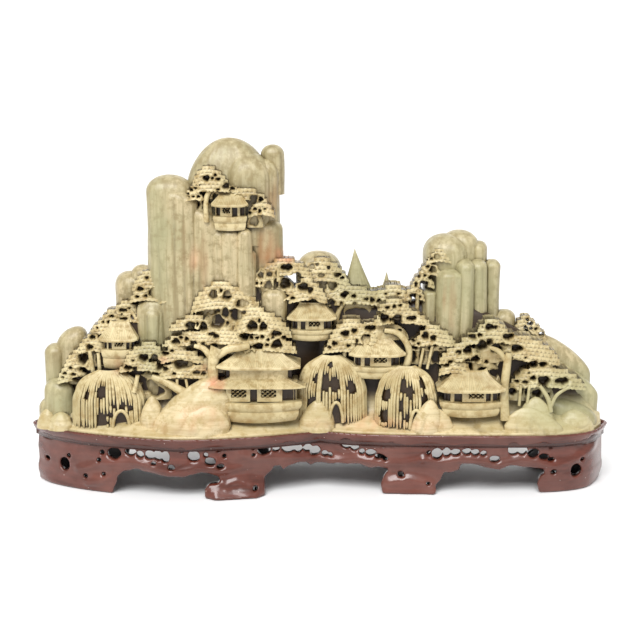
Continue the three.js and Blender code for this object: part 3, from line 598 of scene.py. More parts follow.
# The pines. Each canopy is one carved sheet of stone: domed pads of small beads in stepped rows,
# pierced by round hollows that leave thin forked branches, over a trunk of bare smooth stone.
BEAD = 4.3
ROW = 3.9
LEAF_CELL = 0.66
CANOPIES = {
    "pine_great": dict(rear=-4, pads=[
        (-133, -59, -103, 216, 188, -27), (-120, -72, -96, 196, 166, -24, 0),
        (-155, -108, -127, 183, 168, -33), (-90, -28, -69, 190, 163, -33),
        (-162, -71, -100, 171, 153, -37), (-84, -23, -59, 167, 146, -36),
        (-122, -59, -90, 159, 141, -35, 0), (-137, -86, -112, 154, 122, -36, 0),
    ], holes=[
        (-109, 202, 4, 5), (-101, 206, 1.5, 2), (-95, 201, 4.5, 5), (-80, 193, 6.5, 4),
        (-120, 184, 2, 1.5), (-115, 185, 2.5, 2), (-110, 183, 4, 2.5), (-105, 185, 2.5, 2),
        (-97, 183, 3.5, 6), (-91, 185, 2, 2), (-86, 181, 5.5, 7), (-78, 184, 2.5, 1.5),
        (-105, 174, 6.5, 6.5), (-95, 172, 1.5, 1.5), (-132, 171, 5, 5), (-125, 173, 1.5, 2.5),
        (-119, 170, 4, 5), (-69, 171, 5.5, 5), (-62, 176, 1.5, 2.5), (-58, 170, 4, 4.5),
        (-45, 163, 5.5, 3), (-110, 163, 3.5, 2), (-106, 161, 3, 2.5), (-147, 155, 4.5, 3),
        (-142, 159, 2, 2), (-136, 158, 2, 2), (-129, 154, 3.5, 2.5), (-119, 154, 2, 1.5),
        (-108, 150, 3, 4), (-89, 150, 3, 2), (-77, 160, 5, 4), (-70, 159, 2, 2), (-64, 159, 2, 1.5),
        (-59, 160, 2, 2), (-53, 157, 1.5, 1.5), (-48, 159, 1.5, 1.5), (-37, 159, 2, 2), (-63, 150, 5.5, 4),
        (-54, 152, 2, 1.5), (-44, 152, 5.5, 5), (-71, 150, 1.5, 1.5), (-80, 146, 1.5, 1.5),
        (-70, 146, 1.5, 1), (-125, 142, 9.5, 8), (-100, 132, 3.5, 4), (-94, 138, 5, 4),
    ]),
    "pine_front_left": dict(rear=-8, pads=[
        (-200, -157, -173, 156, 138, -38), (-163, -116, -151, 152, 135, -38),
        (-207, -161, -184, 140, 126, -41), (-170, -104, -143, 137, 119, -41),
        (-184, -108, -145, 130, 116, -38, 0), (-197, -152, -177, 122, 93, -34, 0),
    ], holes=[
        (-180, 139, 5, 4), (-169, 138, 4, 4.5), (-196, 129, 4.5, 2.5), (-189, 128, 2.5, 2.5),
        (-158, 143, 4, 2), (-141, 132, 10, 5), (-164, 129, 3, 3), (-158, 127, 3, 2), (-169, 122, 3, 2.5),
        (-176, 124, 3, 2), (-126, 124, 4, 2), (-119, 123, 2.5, 2), (-151, 146, 2, 1.5),
        (-191, 136, 1.5, 1), (-149, 123, 2, 1.5), (-186, 114, 7.5, 5), (-176, 107, 9, 6.5),
        (-168, 102, 7, 5.5),
    ]),
    "pine_hollow_left": dict(rear=2, pads=[
        (-194, -152, -177, 225, 207, -13), (-197, -156, -180, 211, 194, -15),
        (-166, -131, -152, 208, 193, -17), (-160, -138, -149, 196, 186, -14, 0),
    ], holes=[
        (-185, 206, 3.5, 2.5), (-172, 202, 4.5, 4.5), (-165, 204, 1.5, 3), (-160, 208, 3.5, 3.5),
        (-161, 197, 3, 2), (-155, 196, 1.5, 1.5), (-150, 201, 3.5, 2.5), (-145, 200, 2, 2),
        (-156, 190, 2, 2.5), (-147, 195, 2, 1.5), (-142, 196, 1.5, 1), (-188, 198, 2, 1.5),
        (-179, 199, 2, 1.5), (-144, 187, 4, 4), (-178, 217, 2, 1.5), (-166, 215, 2, 1.5),
    ]),
    "pine_slope_left": dict(rear=6, pads=[
        (-215, -186, -200, 194, 180, -11), (-229, -198, -215, 185, 168, -13),
        (-239, -208, -224, 174, 159, -15), (-210, -183, -198, 182, 172, -16),
        (-199, -182, -190, 175, 144, -14, 0),
    ], holes=[
        (-197, 185, 1.5, 1), (-204, 183, 4.5, 2), (-215, 177, 2.5, 1.5), (-218, 171, 1.5, 1.5),
        (-202, 175, 4.5, 1.5), (-193, 177, 2, 2.5), (-224, 171, 1, 1), (-230, 165, 1, 1),
        (-190, 165, 2.5, 5), (-188, 151, 2.5, 4.5),
    ]),
    "pine_far_left": dict(rear=-4, pads=[
        (-251, -218, -234, 161, 143, -25), (-265, -234, -249, 145, 126, -27),
        (-272, -239, -257, 131, 112, -29), (-251, -216, -233, 148, 126, -24, 0),
        (-263, -234, -248, 122, 106, -22, 0),
    ], holes=[
        (-234, 157, 3, 2.5), (-237, 147, 3.5, 3), (-244, 135, 5.5, 5.5), (-225, 134, 5.5, 7),
        (-250, 147, 1, 1), (-245, 125, 3.5, 2), (-257, 126, 2, 1.5), (-263, 120, 2, 1.5),
        (-254, 119, 2.5, 1.5), (-265, 116, 1.5, 1), (-232, 142, 1, 1), (-248, 114, 8, 2.5),
    ]),
    "pine_peak_left": dict(rear=10, pads=[
        (-130, -92, -114, 333, 315, -15), (-136, -83, -107, 318, 307, -18),
        (-138, -115, -127, 308, 298, -19), (-95, -53, -74, 311, 298, -18), (-74, -45, -59, 300, 283, -18),
        (-124, -65, -95, 312, 298, -16, 0), (-135, -109, -122, 303, 280, -15, 0),
        (-75, -57, -66, 287, 269, -15, 0),
    ], holes=[
        (-115, 320, 3.5, 3), (-109, 320, 1.5, 1.5), (-106, 323, 1.5, 1.5), (-103, 319, 2.5, 1.5),
        (-130, 308, 2, 1.5), (-126, 310, 2, 1), (-95, 312, 3.5, 3), (-89, 309, 2.5, 2.5),
        (-133, 301, 1.5, 1.5), (-128, 302, 1.5, 1), (-123, 302, 2, 1.5), (-117, 304, 2.5, 3.5),
        (-82, 301, 4, 2.5), (-97, 303, 2, 2), (-103, 309, 2, 1), (-67, 300, 4, 3.5), (-60, 299, 2.5, 2.5),
        (-70, 292, 1.5, 1), (-66, 289, 2, 1.5), (-61, 287, 1.5, 2), (-56, 289, 1.5, 1),
        (-71, 285, 1.5, 1.5), (-106, 301, 3, 3.5), (-127, 293, 5, 5.5), (-117, 296, 2, 2.5),
        (-117, 290, 2, 2), (-116, 285, 2, 2.5), (-67, 276, 4.5, 5),
    ]),
    "pine_middle_back": dict(rear=8, pads=[
        (-69, -7, -36, 238, 220, -13), (-76, -29, -53, 228, 209, -15), (-33, 8, -14, 218, 195, -18),
        (-72, -25, -49, 219, 203, -12, 0), (-73, -54, -64, 213, 186, -13, 0),
        (-40, -18, -31, 207, 195, -15),
    ], holes=[
        (-34, 228, 6.5, 3.5), (-60, 220, 4, 3), (-52, 221, 3.5, 2.5), (-44, 222, 1.5, 2.5),
        (-24, 219, 4.5, 4), (-65, 212, 1.5, 1.5), (-60, 212, 1, 1.5), (-53, 210, 4, 4.5),
        (-45, 211, 2.5, 5.5), (-36, 211, 5.5, 6), (-17, 208, 5.5, 4.5), (-10, 205, 3, 3.5),
        (-7, 194, 3.5, 2.5), (-35, 199, 2.5, 2), (-28, 197, 2.5, 1.5), (-65, 199, 5, 8.5),
    ]),
    "pine_waist": dict(rear=20, closed=1, see=5, pads=[
        (-25, 29, 2, 237, 212, -2), (-4, 37, 17, 226, 193, -4), (6, 78, 33, 208, 189, -8),
        (10, 66, 38, 197, 165, -5, 0), (54, 95, 76, 210, 194, -10),
    ], holes=[
        (-19, 228, 2.5, 1.5), (-8, 227, 2, 2), (-3, 229, 1.5, 1), (9, 226, 1.5, 1.5), (-11, 232, 1, 1),
        (1, 218, 3.5, 2), (6, 210, 1.5, 1), (13, 207, 4.5, 4.5), (3, 206, 3, 3.5), (18, 218, 4, 2.5),
        (23, 215, 2.5, 1.5), (26, 198, 4.5, 4), (35, 197, 2.5, 2), (11, 190, 5, 3.5), (22, 190, 1.5, 1.5),
        (36, 190, 1.5, 1), (48, 194, 2.5, 1.5), (54, 193, 2.5, 2.5), (61, 193, 2, 2), (68, 200, 1.5, 1),
        (81, 200, 1.5, 1), (38, 177, 11, 7), (22, 177, 3, 7.5), (55, 179, 2, 3),
    ]),
    "pine_middle_front": dict(rear=-4, pads=[
        (58, 94, 76, 199, 187, -26), (54, 114, 78, 191, 173, -29), (7, 64, 31, 178, 153, -30),
        (96, 141, 114, 172, 151, -31), (2, 44, 23, 158, 144, -32), (121, 155, 138, 144, 123, -36),
        (86, 134, 113, 157, 129, -28, 0), (20, 92, 57, 174, 154, -27, 0), (87, 143, 113, 160, 144, -29, 0),
    ], holes=[
        (69, 189, 2.5, 1.5), (76, 190, 2, 2), (82, 191, 2, 1.5), (66, 178, 4.5, 4.5), (72, 177, 1.5, 2),
        (79, 177, 5.5, 5), (61, 180, 1, 1), (94, 178, 5.5, 2.5), (26, 162, 4.5, 3.5), (35, 165, 3, 2.5),
        (52, 167, 6, 3), (47, 157, 4.5, 5), (38, 155, 1.5, 2), (15, 152, 3, 2.5), (10, 148, 2, 1.5),
        (29, 150, 2, 1.5), (108, 160, 3.5, 4), (116, 158, 3, 3), (103, 169, 1.5, 1.5), (94, 166, 5.5, 6),
        (69, 164, 2.5, 1.5), (82, 164, 2, 1.5), (96, 154, 2, 1.5), (101, 152, 1.5, 1.5),
        (113, 147, 2, 1.5), (118, 150, 1.5, 1.5), (124, 146, 2, 1), (133, 135, 2.5, 2), (130, 131, 2.5, 2),
        (140, 137, 1.5, 1), (96, 137, 3, 7), (97, 147, 3.5, 2), (105, 139, 2, 6.5), (121, 136, 6.5, 7),
    ]),
    "pine_right": dict(rear=-8, pads=[
        (160, 192, 175, 179, 167, -33), (142, 207, 175, 171, 154, -36), (121, 167, 146, 154, 135, -37),
        (181, 247, 204, 162, 135, -38), (193, 274, 225, 133, 109, -41), (154, 215, 184, 160, 132, -33, 0),
        (123, 184, 154, 141, 124, -34, 0), (191, 242, 215, 117, 93, -38, 0),
        (121, 187, 154, 129, 110, -33, 0),
    ], holes=[
        (173, 170, 4.5, 3.5), (179, 170, 2, 2), (156, 160, 4, 2.5), (163, 162, 2.5, 2), (192, 160, 6, 3),
        (166, 151, 5.5, 6), (173, 155, 3, 4), (181, 147, 6, 5.5), (186, 153, 2, 1.5), (151, 146, 4.5, 4),
        (142, 144, 3, 2.5), (159, 137, 5, 3.5), (151, 136, 3.5, 2), (134, 134, 3, 2.5), (131, 129, 2, 2),
        (151, 128, 6, 5), (201, 148, 6, 4), (188, 141, 1.5, 1.5), (194, 137, 2.5, 2.5), (187, 131, 4, 4.5),
        (202, 129, 7.5, 9), (210, 139, 1, 1), (218, 132, 5.5, 4), (228, 132, 4, 3), (218, 118, 3, 2.5),
        (229, 115, 6, 5.5), (248, 115, 7.5, 3.5), (202, 114, 2.5, 1.5), (210, 114, 3.5, 1.5),
        (214, 123, 1.5, 1), (167, 125, 4, 2.5), (171, 133, 2, 2), (198, 103, 3.5, 4.5),
        (207, 104, 1.5, 4.5), (213, 103, 2.5, 4.5), (223, 101, 5, 4), (235, 98, 2, 3.5),
        (179, 119, 4.5, 6.5), (128, 117, 5.5, 5.5),
    ]),
    "pine_far_right": dict(rear=16, closed=1, see=6, pads=[
        (201, 230, 214, 176, 157, -2), (206, 242, 225, 165, 140, -4), (214, 246, 229, 151, 132, -8),
    ], holes=[
        (216, 171, 1.5, 1), (219, 167, 3, 1.5), (214, 163, 1.5, 1.5), (220, 162, 1.5, 1),
        (231, 155, 2.5, 2.5), (231, 150, 1.5, 1), (225, 161, 2, 1.5), (215, 157, 3.5, 4),
        (220, 145, 1.5, 1.5), (227, 138, 5.5, 3),
    ]),
    "pine_peak_right": dict(rear=12, pads=[
        (110, 137, 123, 247, 233, -6), (101, 126, 114, 235, 219, -8), (94, 119, 107, 224, 208, -10),
        (86, 109, 98, 211, 195, -12),
    ], holes=[
        (120, 238, 3, 2.5), (115, 236, 1.5, 1.5), (111, 228, 2, 1.5), (117, 231, 2, 1),
        (116, 225, 3.5, 3.5), (123, 229, 1.5, 3), (102, 218, 1.5, 1.5), (108, 219, 1.5, 1.5),
        (115, 217, 3.5, 2), (99, 210, 1.5, 3), (107, 210, 4.5, 4), (96, 198, 3.5, 3), (101, 203, 1.5, 1),
        (102, 197, 2, 2),
    ]),
}
LIMBS = {
    "pine_great": [
        ([(-110, -43, 108), (-109, -42, 128), (-108, -40, 140), (-104, -38, 150)], (5.6, 5.4, 6, 8)),
        ([(-107, -40, 140), (-94, -41, 149), (-82, -40, 151), (-72, -38, 152)], (4, 4, 4, 3)),
        ([(-109, -39, 138), (-118, -38, 149), (-128, -37, 152)], (4, 3, 2)),
    ],
    "pine_front_left": [
        ([(-128, -40, 98), (-143, -40, 106), (-157, -38, 114), (-172, -37, 120)], (5, 4.6, 4, 3)),
        ([(-134, -40, 100), (-137, -40, 118)], (1.6, 1.4)), ([(-146, -40, 106), (-146, -40, 118)], (1.6, 1.4)),
        ([(-121, -40, 104), (-122, -40, 119)], (1.4, 1.2)), ([(-190, -40, 104), (-186, -40, 122)], (2.6, 2)),
    ],
    "pine_hollow_left": [([(-150, -6, 176), (-151, -12, 196), (-153, -12, 206)], (2.6, 2.2, 2))],
    "pine_slope_left": [([(-190, -10, 152), (-189, -12, 172), (-195, -12, 184)], (2.2, 1.8, 1.6))],
    "pine_far_left": [
        ([(-234, -24, 122), (-237, -24, 144)], (2.4, 2)), ([(-227, -24, 122), (-228, -24, 142)], (2.2, 1.8)),
    ],
    "pine_peak_left": [([(-115, -16, 276), (-115, -16, 300), (-108, -14, 312)], (2.8, 2.6, 2))],
    "pine_middle_back": [
        ([(-57, -12, 212), (-56, -12, 226)], (1.6, 1.4)), ([(-43, -12, 214), (-43, -12, 228)], (1.6, 1.4)),
    ],
    "pine_waist": [([(16, -2, 165), (20, -2, 182), (31, -3, 198)], (3, 2.4, 2))],
    "pine_middle_front": [
        ([(84, -30, 118), (90, -31, 134), (90, -30, 150), (80, -28, 163), (66, -27, 166)], (4.6, 3.8, 3.4, 3, 2.4)),
        ([(102, -29, 126), (106, -29, 148)], (1.7, 1.4)), ([(110, -29, 126), (115, -29, 150)], (1.6, 1.4)),
        ([(22, -24, 120), (26, -26, 146)], (3, 2)),
    ],
    "pine_right": [
        ([(190, -44, 76), (188, -43, 105), (190, -42, 130), (192, -41, 146)], (5.4, 4.4, 4.2, 3.4)),
        ([(190, -41, 136), (182, -41, 147), (172, -40, 151)], (2.8, 2.6, 1.8)),
        ([(204, -41, 90), (205, -41, 112)], (1.7, 1.5)), ([(212, -41, 90), (214, -41, 112)], (1.7, 1.5)),
        ([(236, -43, 84), (233, -43, 98), (224, -43, 112)], (2.8, 2.4, 1.8)),
        ([(236, -43, 90), (242, -43, 102), (254, -43, 110)], (2.2, 1.8, 1.4)),
    ],
    "pine_far_right": [([(218, 6, 130), (219, 4, 152)], (3, 2.4))],
    "pine_peak_right": [([(100, -6, 178), (101, -8, 206)], (2.2, 1.8))],
}


def pad_of_beads(x, z, left, right, apex, top, foot, near, rows=None):
    """How far forward a domed pad stands, its fine relief, its painted shade under each row's lip and between beads,
    and where it is.
    """
    wide = np.where(x < apex, apex - left, right - apex)
    side = np.abs(x - apex) / wide
    plain = rows == 0
    rows = max(2, round((top - foot) / ROW))
    pitch = (top - foot) / rows
    course = (top - 0.22 * (top - foot) * np.minimum(side, 1.2) ** 1.6 - z) / pitch
    if plain:
        course = (top - z) / pitch
    bead = (x / BEAD + 0.5 * (np.floor(course) % 2)) % 1
    bead = np.sqrt(np.maximum(0, 1 - (2 * bead - 1) ** 2))
    if not plain:
        course = course + 0.24 * (1 - bead)
    row = np.clip(np.floor(course), 0, rows - 1)
    within = course - np.floor(course)
    reach = np.sin(np.pi / 2 * np.clip((row + 0.5) / rows, 0, 1) ** 0.62)
    if plain:
        reach = np.sin(np.pi / 2 * np.clip(course / rows, 0, 1) ** 0.5)
    present = (course >= 0) & (course < rows) & (side < reach)
    turned = np.minimum(7, 0.22 * wide) * np.minimum(side / np.maximum(reach, 0.05), 1) ** 4
    if plain:
        # A plain pad is given a faint, even painted shade.
        return near + 2.5 + turned + 2 * (1 - course / rows), 0 * x, 0.12 + 0 * x, present
    stepped = near + 1.15 * (rows - 1 - row) + turned
    notch = 1 - ease(0, 0.27, within)
    relief = (0.45 + 1.0 * bead) * within**0.7 - 0.9 * notch
    # Painted shade: a dark line in the notch under each row's lip and between the beads.
    return stepped, relief, 0.62 * notch + 0.3 * (1 - bead) ** 2, present


def canopy(rear, pads, holes, closed=0, see=0, seed=0):
    """One canopy as a relief over x and z, walled back to the hill or closed behind."""
    rng = np.random.default_rng(seed)
    xs = np.arange(min(p[0] for p in pads) - 2, max(p[1] for p in pads) + 2, LEAF_CELL)
    zs = np.arange(min(p[4] for p in pads) - 8, max(p[3] for p in pads) + 2, LEAF_CELL)
    x, z = np.meshgrid(xs, zs, indexing="ij")
    front = np.full(x.shape, 1000.0)
    relief, dirt_and_shade, present = 0 * x, 0 * x, x > 1e9
    for pad in pads:
        stepped, fine, dirt_and_shade_amount, inside = pad_of_beads(x, z, *pad)
        nearer = inside & (stepped < front)
        front = np.where(nearer, stepped, front)
        relief = np.where(nearer, fine, relief)
        dirt_and_shade = np.where(nearer, dirt_and_shade_amount, dirt_and_shade)
        present |= inside
    bare, push = 0 * x, 0 * x
    for i, (hole_x, hole_z, wide, high) in enumerate(holes):
        turn = np.arctan2(z - hole_z, x - hole_x)
        ragged = 1 + 0.1 * np.sin(3 * turn + rng.uniform(0, 6)) + 0.06 * np.sin(5 * turn + rng.uniform(0, 6))
        away = np.hypot((x - hole_x) / wide, (z - hole_z) / high) / ragged
        small = min(wide, high)
        bare = np.maximum(bare, ease(1 + 1.5 / small, 1.05, away))
        push = np.maximum(push, min(13, 2.8 * small + 2) * ease(1.04, 0.74, away))
        # Each hollow is painted dark as shade, darkest at its middle.
        deepest = rng.uniform(0.7, 0.97) if small > 2.6 else rng.uniform(0.8, 0.97)
        dirt_and_shade = np.maximum(dirt_and_shade, deepest * ease(1.06, 0.84, away))
        if i < see:
            present &= away > 0.95
    dirt_and_shade = np.maximum(dirt_and_shade * (1 - 0.7 * bare * (push < 0.3)), dirt_and_shade * (push >= 0.3))
    y = front - relief * (1 - bare) + 1.1 * bare + push + 0.5 * waver(x, 0, z, 16, seed)
    number = np.cumsum(present.ravel()).reshape(present.shape) - 1
    whole = present[:-1, :-1] & present[1:, :-1] & present[1:, 1:] & present[:-1, 1:]
    around = sum(np.roll(np.roll(present, i, 0), k, 1) for i in (-1, 0, 1) for k in (-1, 0, 1))
    mean_x = sum(np.roll(np.roll(x * present, i, 0), k, 1) for i in (-1, 0, 1) for k in (-1, 0, 1)) / around.clip(1)
    mean_z = sum(np.roll(np.roll(z * present, i, 0), k, 1) for i in (-1, 0, 1) for k in (-1, 0, 1)) / around.clip(1)
    edge = 0.8 * (around < 9)
    points = np.stack([mix(x, mean_x, edge), np.minimum(y, rear - 1), mix(z, mean_z, edge)], -1)[present]
    corner = [number[:-1, :-1], number[1:, :-1], number[1:, 1:], number[:-1, 1:]]
    faces = [np.stack([c[whole] for c in corner], -1)]
    padded = np.pad(whole, 1)
    for axis, (first, second) in enumerate(((0, 3), (0, 1))):
        before = padded[:-1, 1:-1] if axis == 0 else padded[1:-1, :-1]
        after = padded[1:, 1:-1] if axis == 0 else padded[1:-1, 1:]
        for rim, flip in ((after & ~before, axis == 1), (before & ~after, axis == 0)):
            i, k = np.nonzero(rim)
            start = number[i, k]
            end = number[i, k + 1] if axis == 0 else number[i + 1, k]
            pair = (start, end) if flip else (end, start)
            faces.append(np.stack([pair[0], pair[1], pair[1] + len(points), pair[0] + len(points)], -1))
    back = points.copy()
    back[:, 1] = rear + (0.8 * relief[present] if closed else 0)
    if closed:
        faces.append(faces[0][:, ::-1] + len(points))
    # The walls and back of the canopy carry a lighter painted shade.
    dirt_and_shade_amount = np.concatenate([dirt_and_shade[present], 0.3 * dirt_and_shade[present] + 0.1])
    return np.concatenate([points, back]), np.concatenate(faces), dirt_and_shade_amount


def tube(points, radii, sides=8, dirt_and_shade=0, steps=None):
    """A round limb through the points, as thick at each as radii says."""
    steps = steps or 5 * len(points)
    share = np.linspace(0, 1, steps)
    path = spline(points, share)
    radius = np.interp(share, np.linspace(0, 1, len(radii)), radii)[:, None]
    ahead = np.gradient(path, axis=0)
    ahead /= np.linalg.norm(ahead, axis=1)[:, None]
    aside = np.cross(ahead, (0.11, 0.97, 0.2))
    aside /= np.linalg.norm(aside, axis=1)[:, None]
    upward = np.cross(ahead, aside)
    angle = np.linspace(0, 2 * np.pi, sides, endpoint=False)[None]
    ring = path[:, None] + radius[..., None] * (
        np.cos(angle)[..., None] * aside[:, None] + np.sin(angle)[..., None] * upward[:, None]
    )
    return skin(ring[..., 0], ring[..., 1], ring[..., 2], True, dirt_and_shade)


for i, (name, shape) in enumerate(CANOPIES.items()):
    limbs = [tube(points, radii, 12) for points, radii in LIMBS[name]]
    stone_piece(name, [canopy(**shape, seed=200 + i)] + limbs, leaf_stone)

# The pavilions. Small open halls under hipped tile roofs with raised corners; their walls are
# thin relief with lattice windows and arched doors, cut in front of a core painted fully dark as shade.
SMALL_FRONT = [("bay", 0.02, 0.14), ("door", 0.23, 0.34), ("lattice", 0.43, 0.71), ("bay", 0.81, 0.98)]
PAVILIONS = [
    dict(left=-106, right=-76, front=-20, depth=24, levels=(268, 282, 294, 308), front_plan=[
        ("bay", 0.04, 0.16), ("lattice", 0.26, 0.5), ("door", 0.58, 0.74), ("bay", 0.84, 0.97)]),
    dict(left=-222, right=-190, front=-28, depth=26, levels=(126, 146, 157, 173), front_plan=[
        ("bay", 0.02, 0.1), ("bay", 0.16, 0.26), ("lattice", 0.36, 0.64), ("door", 0.74, 0.84), ("bay", 0.9, 0.99)]),
    dict(left=-29, right=12, front=-20, depth=26, levels=(154, 165, 177, 191), front_plan=SMALL_FRONT),
    dict(left=35, right=82, front=-32, depth=26, levels=(117, 129, 142, 158), front_plan=SMALL_FRONT),
    dict(left=126, right=182, front=-46, depth=30, levels=(80, 95, 108, 125), front_plan=[
        ("bay", 0.0, 0.13), ("door", 0.2, 0.34), ("lattice", 0.46, 0.73), ("bay", 0.78, 0.86), ("bay", 0.91, 0.99)]),
    dict(left=-104, right=-24, front=-48, depth=30, levels=(76, 96, 112, 122), front_plan=[
        ("bay", 0.01, 0.1), ("lattice", 0.17, 0.36), ("door", 0.41, 0.5), ("lattice", 0.55, 0.74), ("bay", 0.82, 0.96)]),
    dict(left=-97, right=-28, front=-42, depth=26, levels=(112, 116, 131, 147), front_plan=[
        ("bay", 0.0, 0.07), ("notch", 0.2, 0.25), ("notch", 0.4, 0.45), ("notch", 0.6, 0.65), ("notch", 0.78, 0.83),
        ("bay", 0.93, 1.0)]),
]


def tiled_roof(left, right, front, back, eave, top):
    middle_x, middle_y = (left + right) / 2, (front + back) / 2
    reach_x, reach_y = (right - left) / 2, (back - front) / 2
    long, short = int(reach_x * 2 / 0.5), int(reach_y * 2 / 0.8)
    edge = np.concatenate([
        np.stack([np.linspace(-1, 1, long, endpoint=False), np.full(long, -1.0)], 1),
        np.stack([np.full(short, 1.0), np.linspace(-1, 1, short, endpoint=False)], 1),
        np.stack([np.linspace(1, -1, long, endpoint=False), np.full(long, 1.0)], 1),
        np.stack([np.full(short, -1.0), np.linspace(1, -1, short, endpoint=False)], 1),
    ])
    ex, ey = edge[:, 0][None], edge[:, 1][None]
    rows = [(-0.13, 0.84), (-0.13, 0.985), (-0.06, 1.0), (0.0, 0.995), (0.03, 0.97)]
    rows += [(s, 0.97 * (1 - s) ** 1.25) for s in np.linspace(0.08, 0.93, 14)] + [(0.97, 0.0), (1.02, 0.0), (1.02, -0.001)]
    rise = np.array([r[0] for r in rows])[:, None]
    wide = np.array([r[1] for r in rows])[:, None]
    spread_x = mix(0.5, 1, np.clip(wide, 0, 1))
    spread_y = mix(0.07, 1, np.clip(wide, 0, 1))
    spread_x[-1], spread_y[-1] = 0.46, 0
    corner = (np.abs(ex) * np.abs(ey)) ** 6
    lift = 0.17 * corner * np.clip(1 - rise * 1.6, 0, 1)
    tip = 0.12 * np.abs(ex) ** 8 * (rise > 0.95)
    tiles = 0.4 * np.abs(np.sin(np.pi * (ex * reach_x) / 1.9)) * (rise > 0.05) * (rise < 0.95)
    x = middle_x + reach_x * ex * spread_x
    y = middle_y + reach_y * ey * spread_y
    z = eave + (top - eave) * (rise + lift + tip) + tiles
    # Painted shade in the grooves between the tile rows.
    return skin(x, y, z, True, 0.35 * (tiles < 0.14) * (rise > 0.05) * (rise < 0.95))


def step(left, right, front, back, bottom, top, bow):
    """One step of a platform: its front bows forward and its edges sag a little in the middle."""
    x = np.linspace(left, right, 40)
    aside = (x - (left + right) / 2) / ((right - left) / 2)
    edge_x = np.r_[x, x[::-1]]
    edge_y = np.r_[front - bow * (1 - aside**2), 0 * x + back]
    sag = np.r_[-0.32 * bow * (1 - aside**2), 0 * x]
    middle_x, middle_y = (left + right) / 2, (front + back) / 2
    inset = np.array([0.9, 0.94, 0.985, 1, 1, 0.985, 0.0])[:, None]
    rise = np.array([0, 0.1, 0.45, 0.7, 0.9, 1, 1])[:, None]
    # The foot of each step carries a faint painted shade.
    return skin(
        middle_x + (edge_x - middle_x)[None] * inset, middle_y + (edge_y - middle_y)[None] * inset,
        bottom + (top - bottom) * rise + sag[None], True, 0.12 * (rise < 0.2),
    )


# A box painted fully dark where the inside of the hall lies in shade.
def painted_shade_core(left, right, front, back, bottom, top):
    x = np.array([left, right, right, left])[None]
    y = np.array([front, front, back, back])[None]
    return skin(x + 0 * y, y, np.array([bottom, top])[:, None] + 0 * x, True, 1)


def relief_wall(left, right, front, floor, eave, front_plan):
    """The front wall: bays, arched doors, lattices and notches sunk into thin relief and painted dark as shade."""
    across, up = int((right - left) / 0.45), int((eave - floor) / 0.45)
    u = np.linspace(0, 1, across)[None]
    v = np.linspace(0, 1, up)[:, None]
    x, z = left + (right - left) * u + 0 * v, floor + (eave - floor) * v + 0 * u
    sunk = 0 * x
    for kind, start, end in front_plan:
        within = (u > start) & (u < end)
        centre, half = (start + end) / 2, (end - start) / 2
        if kind == "bay":
            sunk = np.maximum(sunk, within & (v > 0.04) & (v < 0.9))
        elif kind == "door":
            arch = np.sqrt(np.maximum(0, 1 - ((u - centre) / half) ** 2))
            sunk = np.maximum(sunk, within & (v < 0.6 + 0.22 * arch))
        elif kind == "notch":
            sunk = np.maximum(sunk, within & (v > 0.72 + 0.2 * np.abs(u - centre) / half))
        else:
            window = within & (v > 0.26) & (v < 0.8)
            cell = (right - left) * (end - start) / 3
            across_bars = np.abs(((x - left) / cell + (z - floor) / 4.2) % 1 - 0.5)
            down_bars = np.abs(((x - left) / cell - (z - floor) / 4.2) % 1 - 0.5)
            sunk = np.maximum(sunk, window & (np.minimum(across_bars, down_bars) > 0.13))
            frame_edge = within & (v > 0.18) & (v < 0.88) & ~window
            sunk = np.where(frame_edge, -0.12, sunk)
    turned_in = 7 * ease(0.8, 1, u) ** 2 + 4 * ease(0.1, 0, u)
    # The sunk places are painted dark as shade.
    return skin(x, front + turned_in + 4.5 * sunk, z, False, np.clip(sunk, 0, 1))


def pavilion(left, right, front, depth, levels, front_plan):
    bottom, floor, eave, top = levels
    back = front + depth
    reach = 0.07 * (right - left)
    bow = 0.075 * (right - left) if floor - bottom > 6 else 0
    middle = mix(bottom, floor, 0.55)
    return [
        step(left - 0.4 * reach, right + 0.4 * reach, front + 1, back, bottom, middle + 0.5, bow),
        step(left - reach, right + reach, front - 0.5, back, middle, floor + 0.4, bow),
        painted_shade_core(left + 1, right - 1, front + 6, back - 1, floor, eave + 1.5),
        relief_wall(left, right, front, floor, eave + 1.5, front_plan),
        tiled_roof(left - 1.7 * reach, right + 1.7 * reach, front - 7, back + 2, eave, top),
    ]


pavilions = stone_piece("pavilions", [part for size in PAVILIONS for part in pavilion(**size)], leaf_stone, crisp=42)

# The willows. Each is a dome of long hanging strands in ragged tiers over a hollow core painted
# fully dark as shade, with big irregular openings between the strands and a small arched one at its foot.
STRAND_PITCH = 2.9
WILLOWS = [
    dict(left=-256, right=-178, front=-46, depth=30, base=66, top=127, door=(0.35, 0.2), openings=[
        (-0.2, 0.66, 0.16, 0.13), (0.42, 0.42, 0.1, 0.06), (0.62, 0.38, 0.1, 0.07), (-0.62, 0.6, 0.07, 0.1),
        (-0.18, 0.12, 0.17, 0.18), (0.18, 0.42, 0.1, 0.05), (0.05, 0.25, 0.07, 0.05)]),
    dict(left=-26, right=49, front=-40, depth=26, base=70, top=142, door=(0.14, 0.17), openings=[
        (-0.03, 0.88, 0.12, 0.06), (-0.16, 0.62, 0.14, 0.14), (0.12, 0.6, 0.14, 0.13), (0.62, 0.55, 0.15, 0.11),
        (-0.55, 0.2, 0.14, 0.22), (0.2, 0.36, 0.1, 0.05), (-0.5, 0.68, 0.09, 0.08)]),
    dict(left=56, right=122, front=-49, depth=32, base=66, top=132, door=(0.28, 0.17), openings=[
        (-0.14, 0.72, 0.13, 0.14), (0.1, 0.62, 0.13, 0.13), (0.6, 0.75, 0.11, 0.12), (-0.72, 0.56, 0.17, 0.11),
        (0.6, 0.45, 0.13, 0.15), (-0.2, 0.4, 0.1, 0.1), (0.0, 0.2, 0.1, 0.07), (-0.75, 0.22, 0.16, 0.12)]),
]


def dome(share):
    return np.interp(share, [0, 0.5, 0.75, 0.9, 1], [1, 0.97, 0.82, 0.58, 0.1])


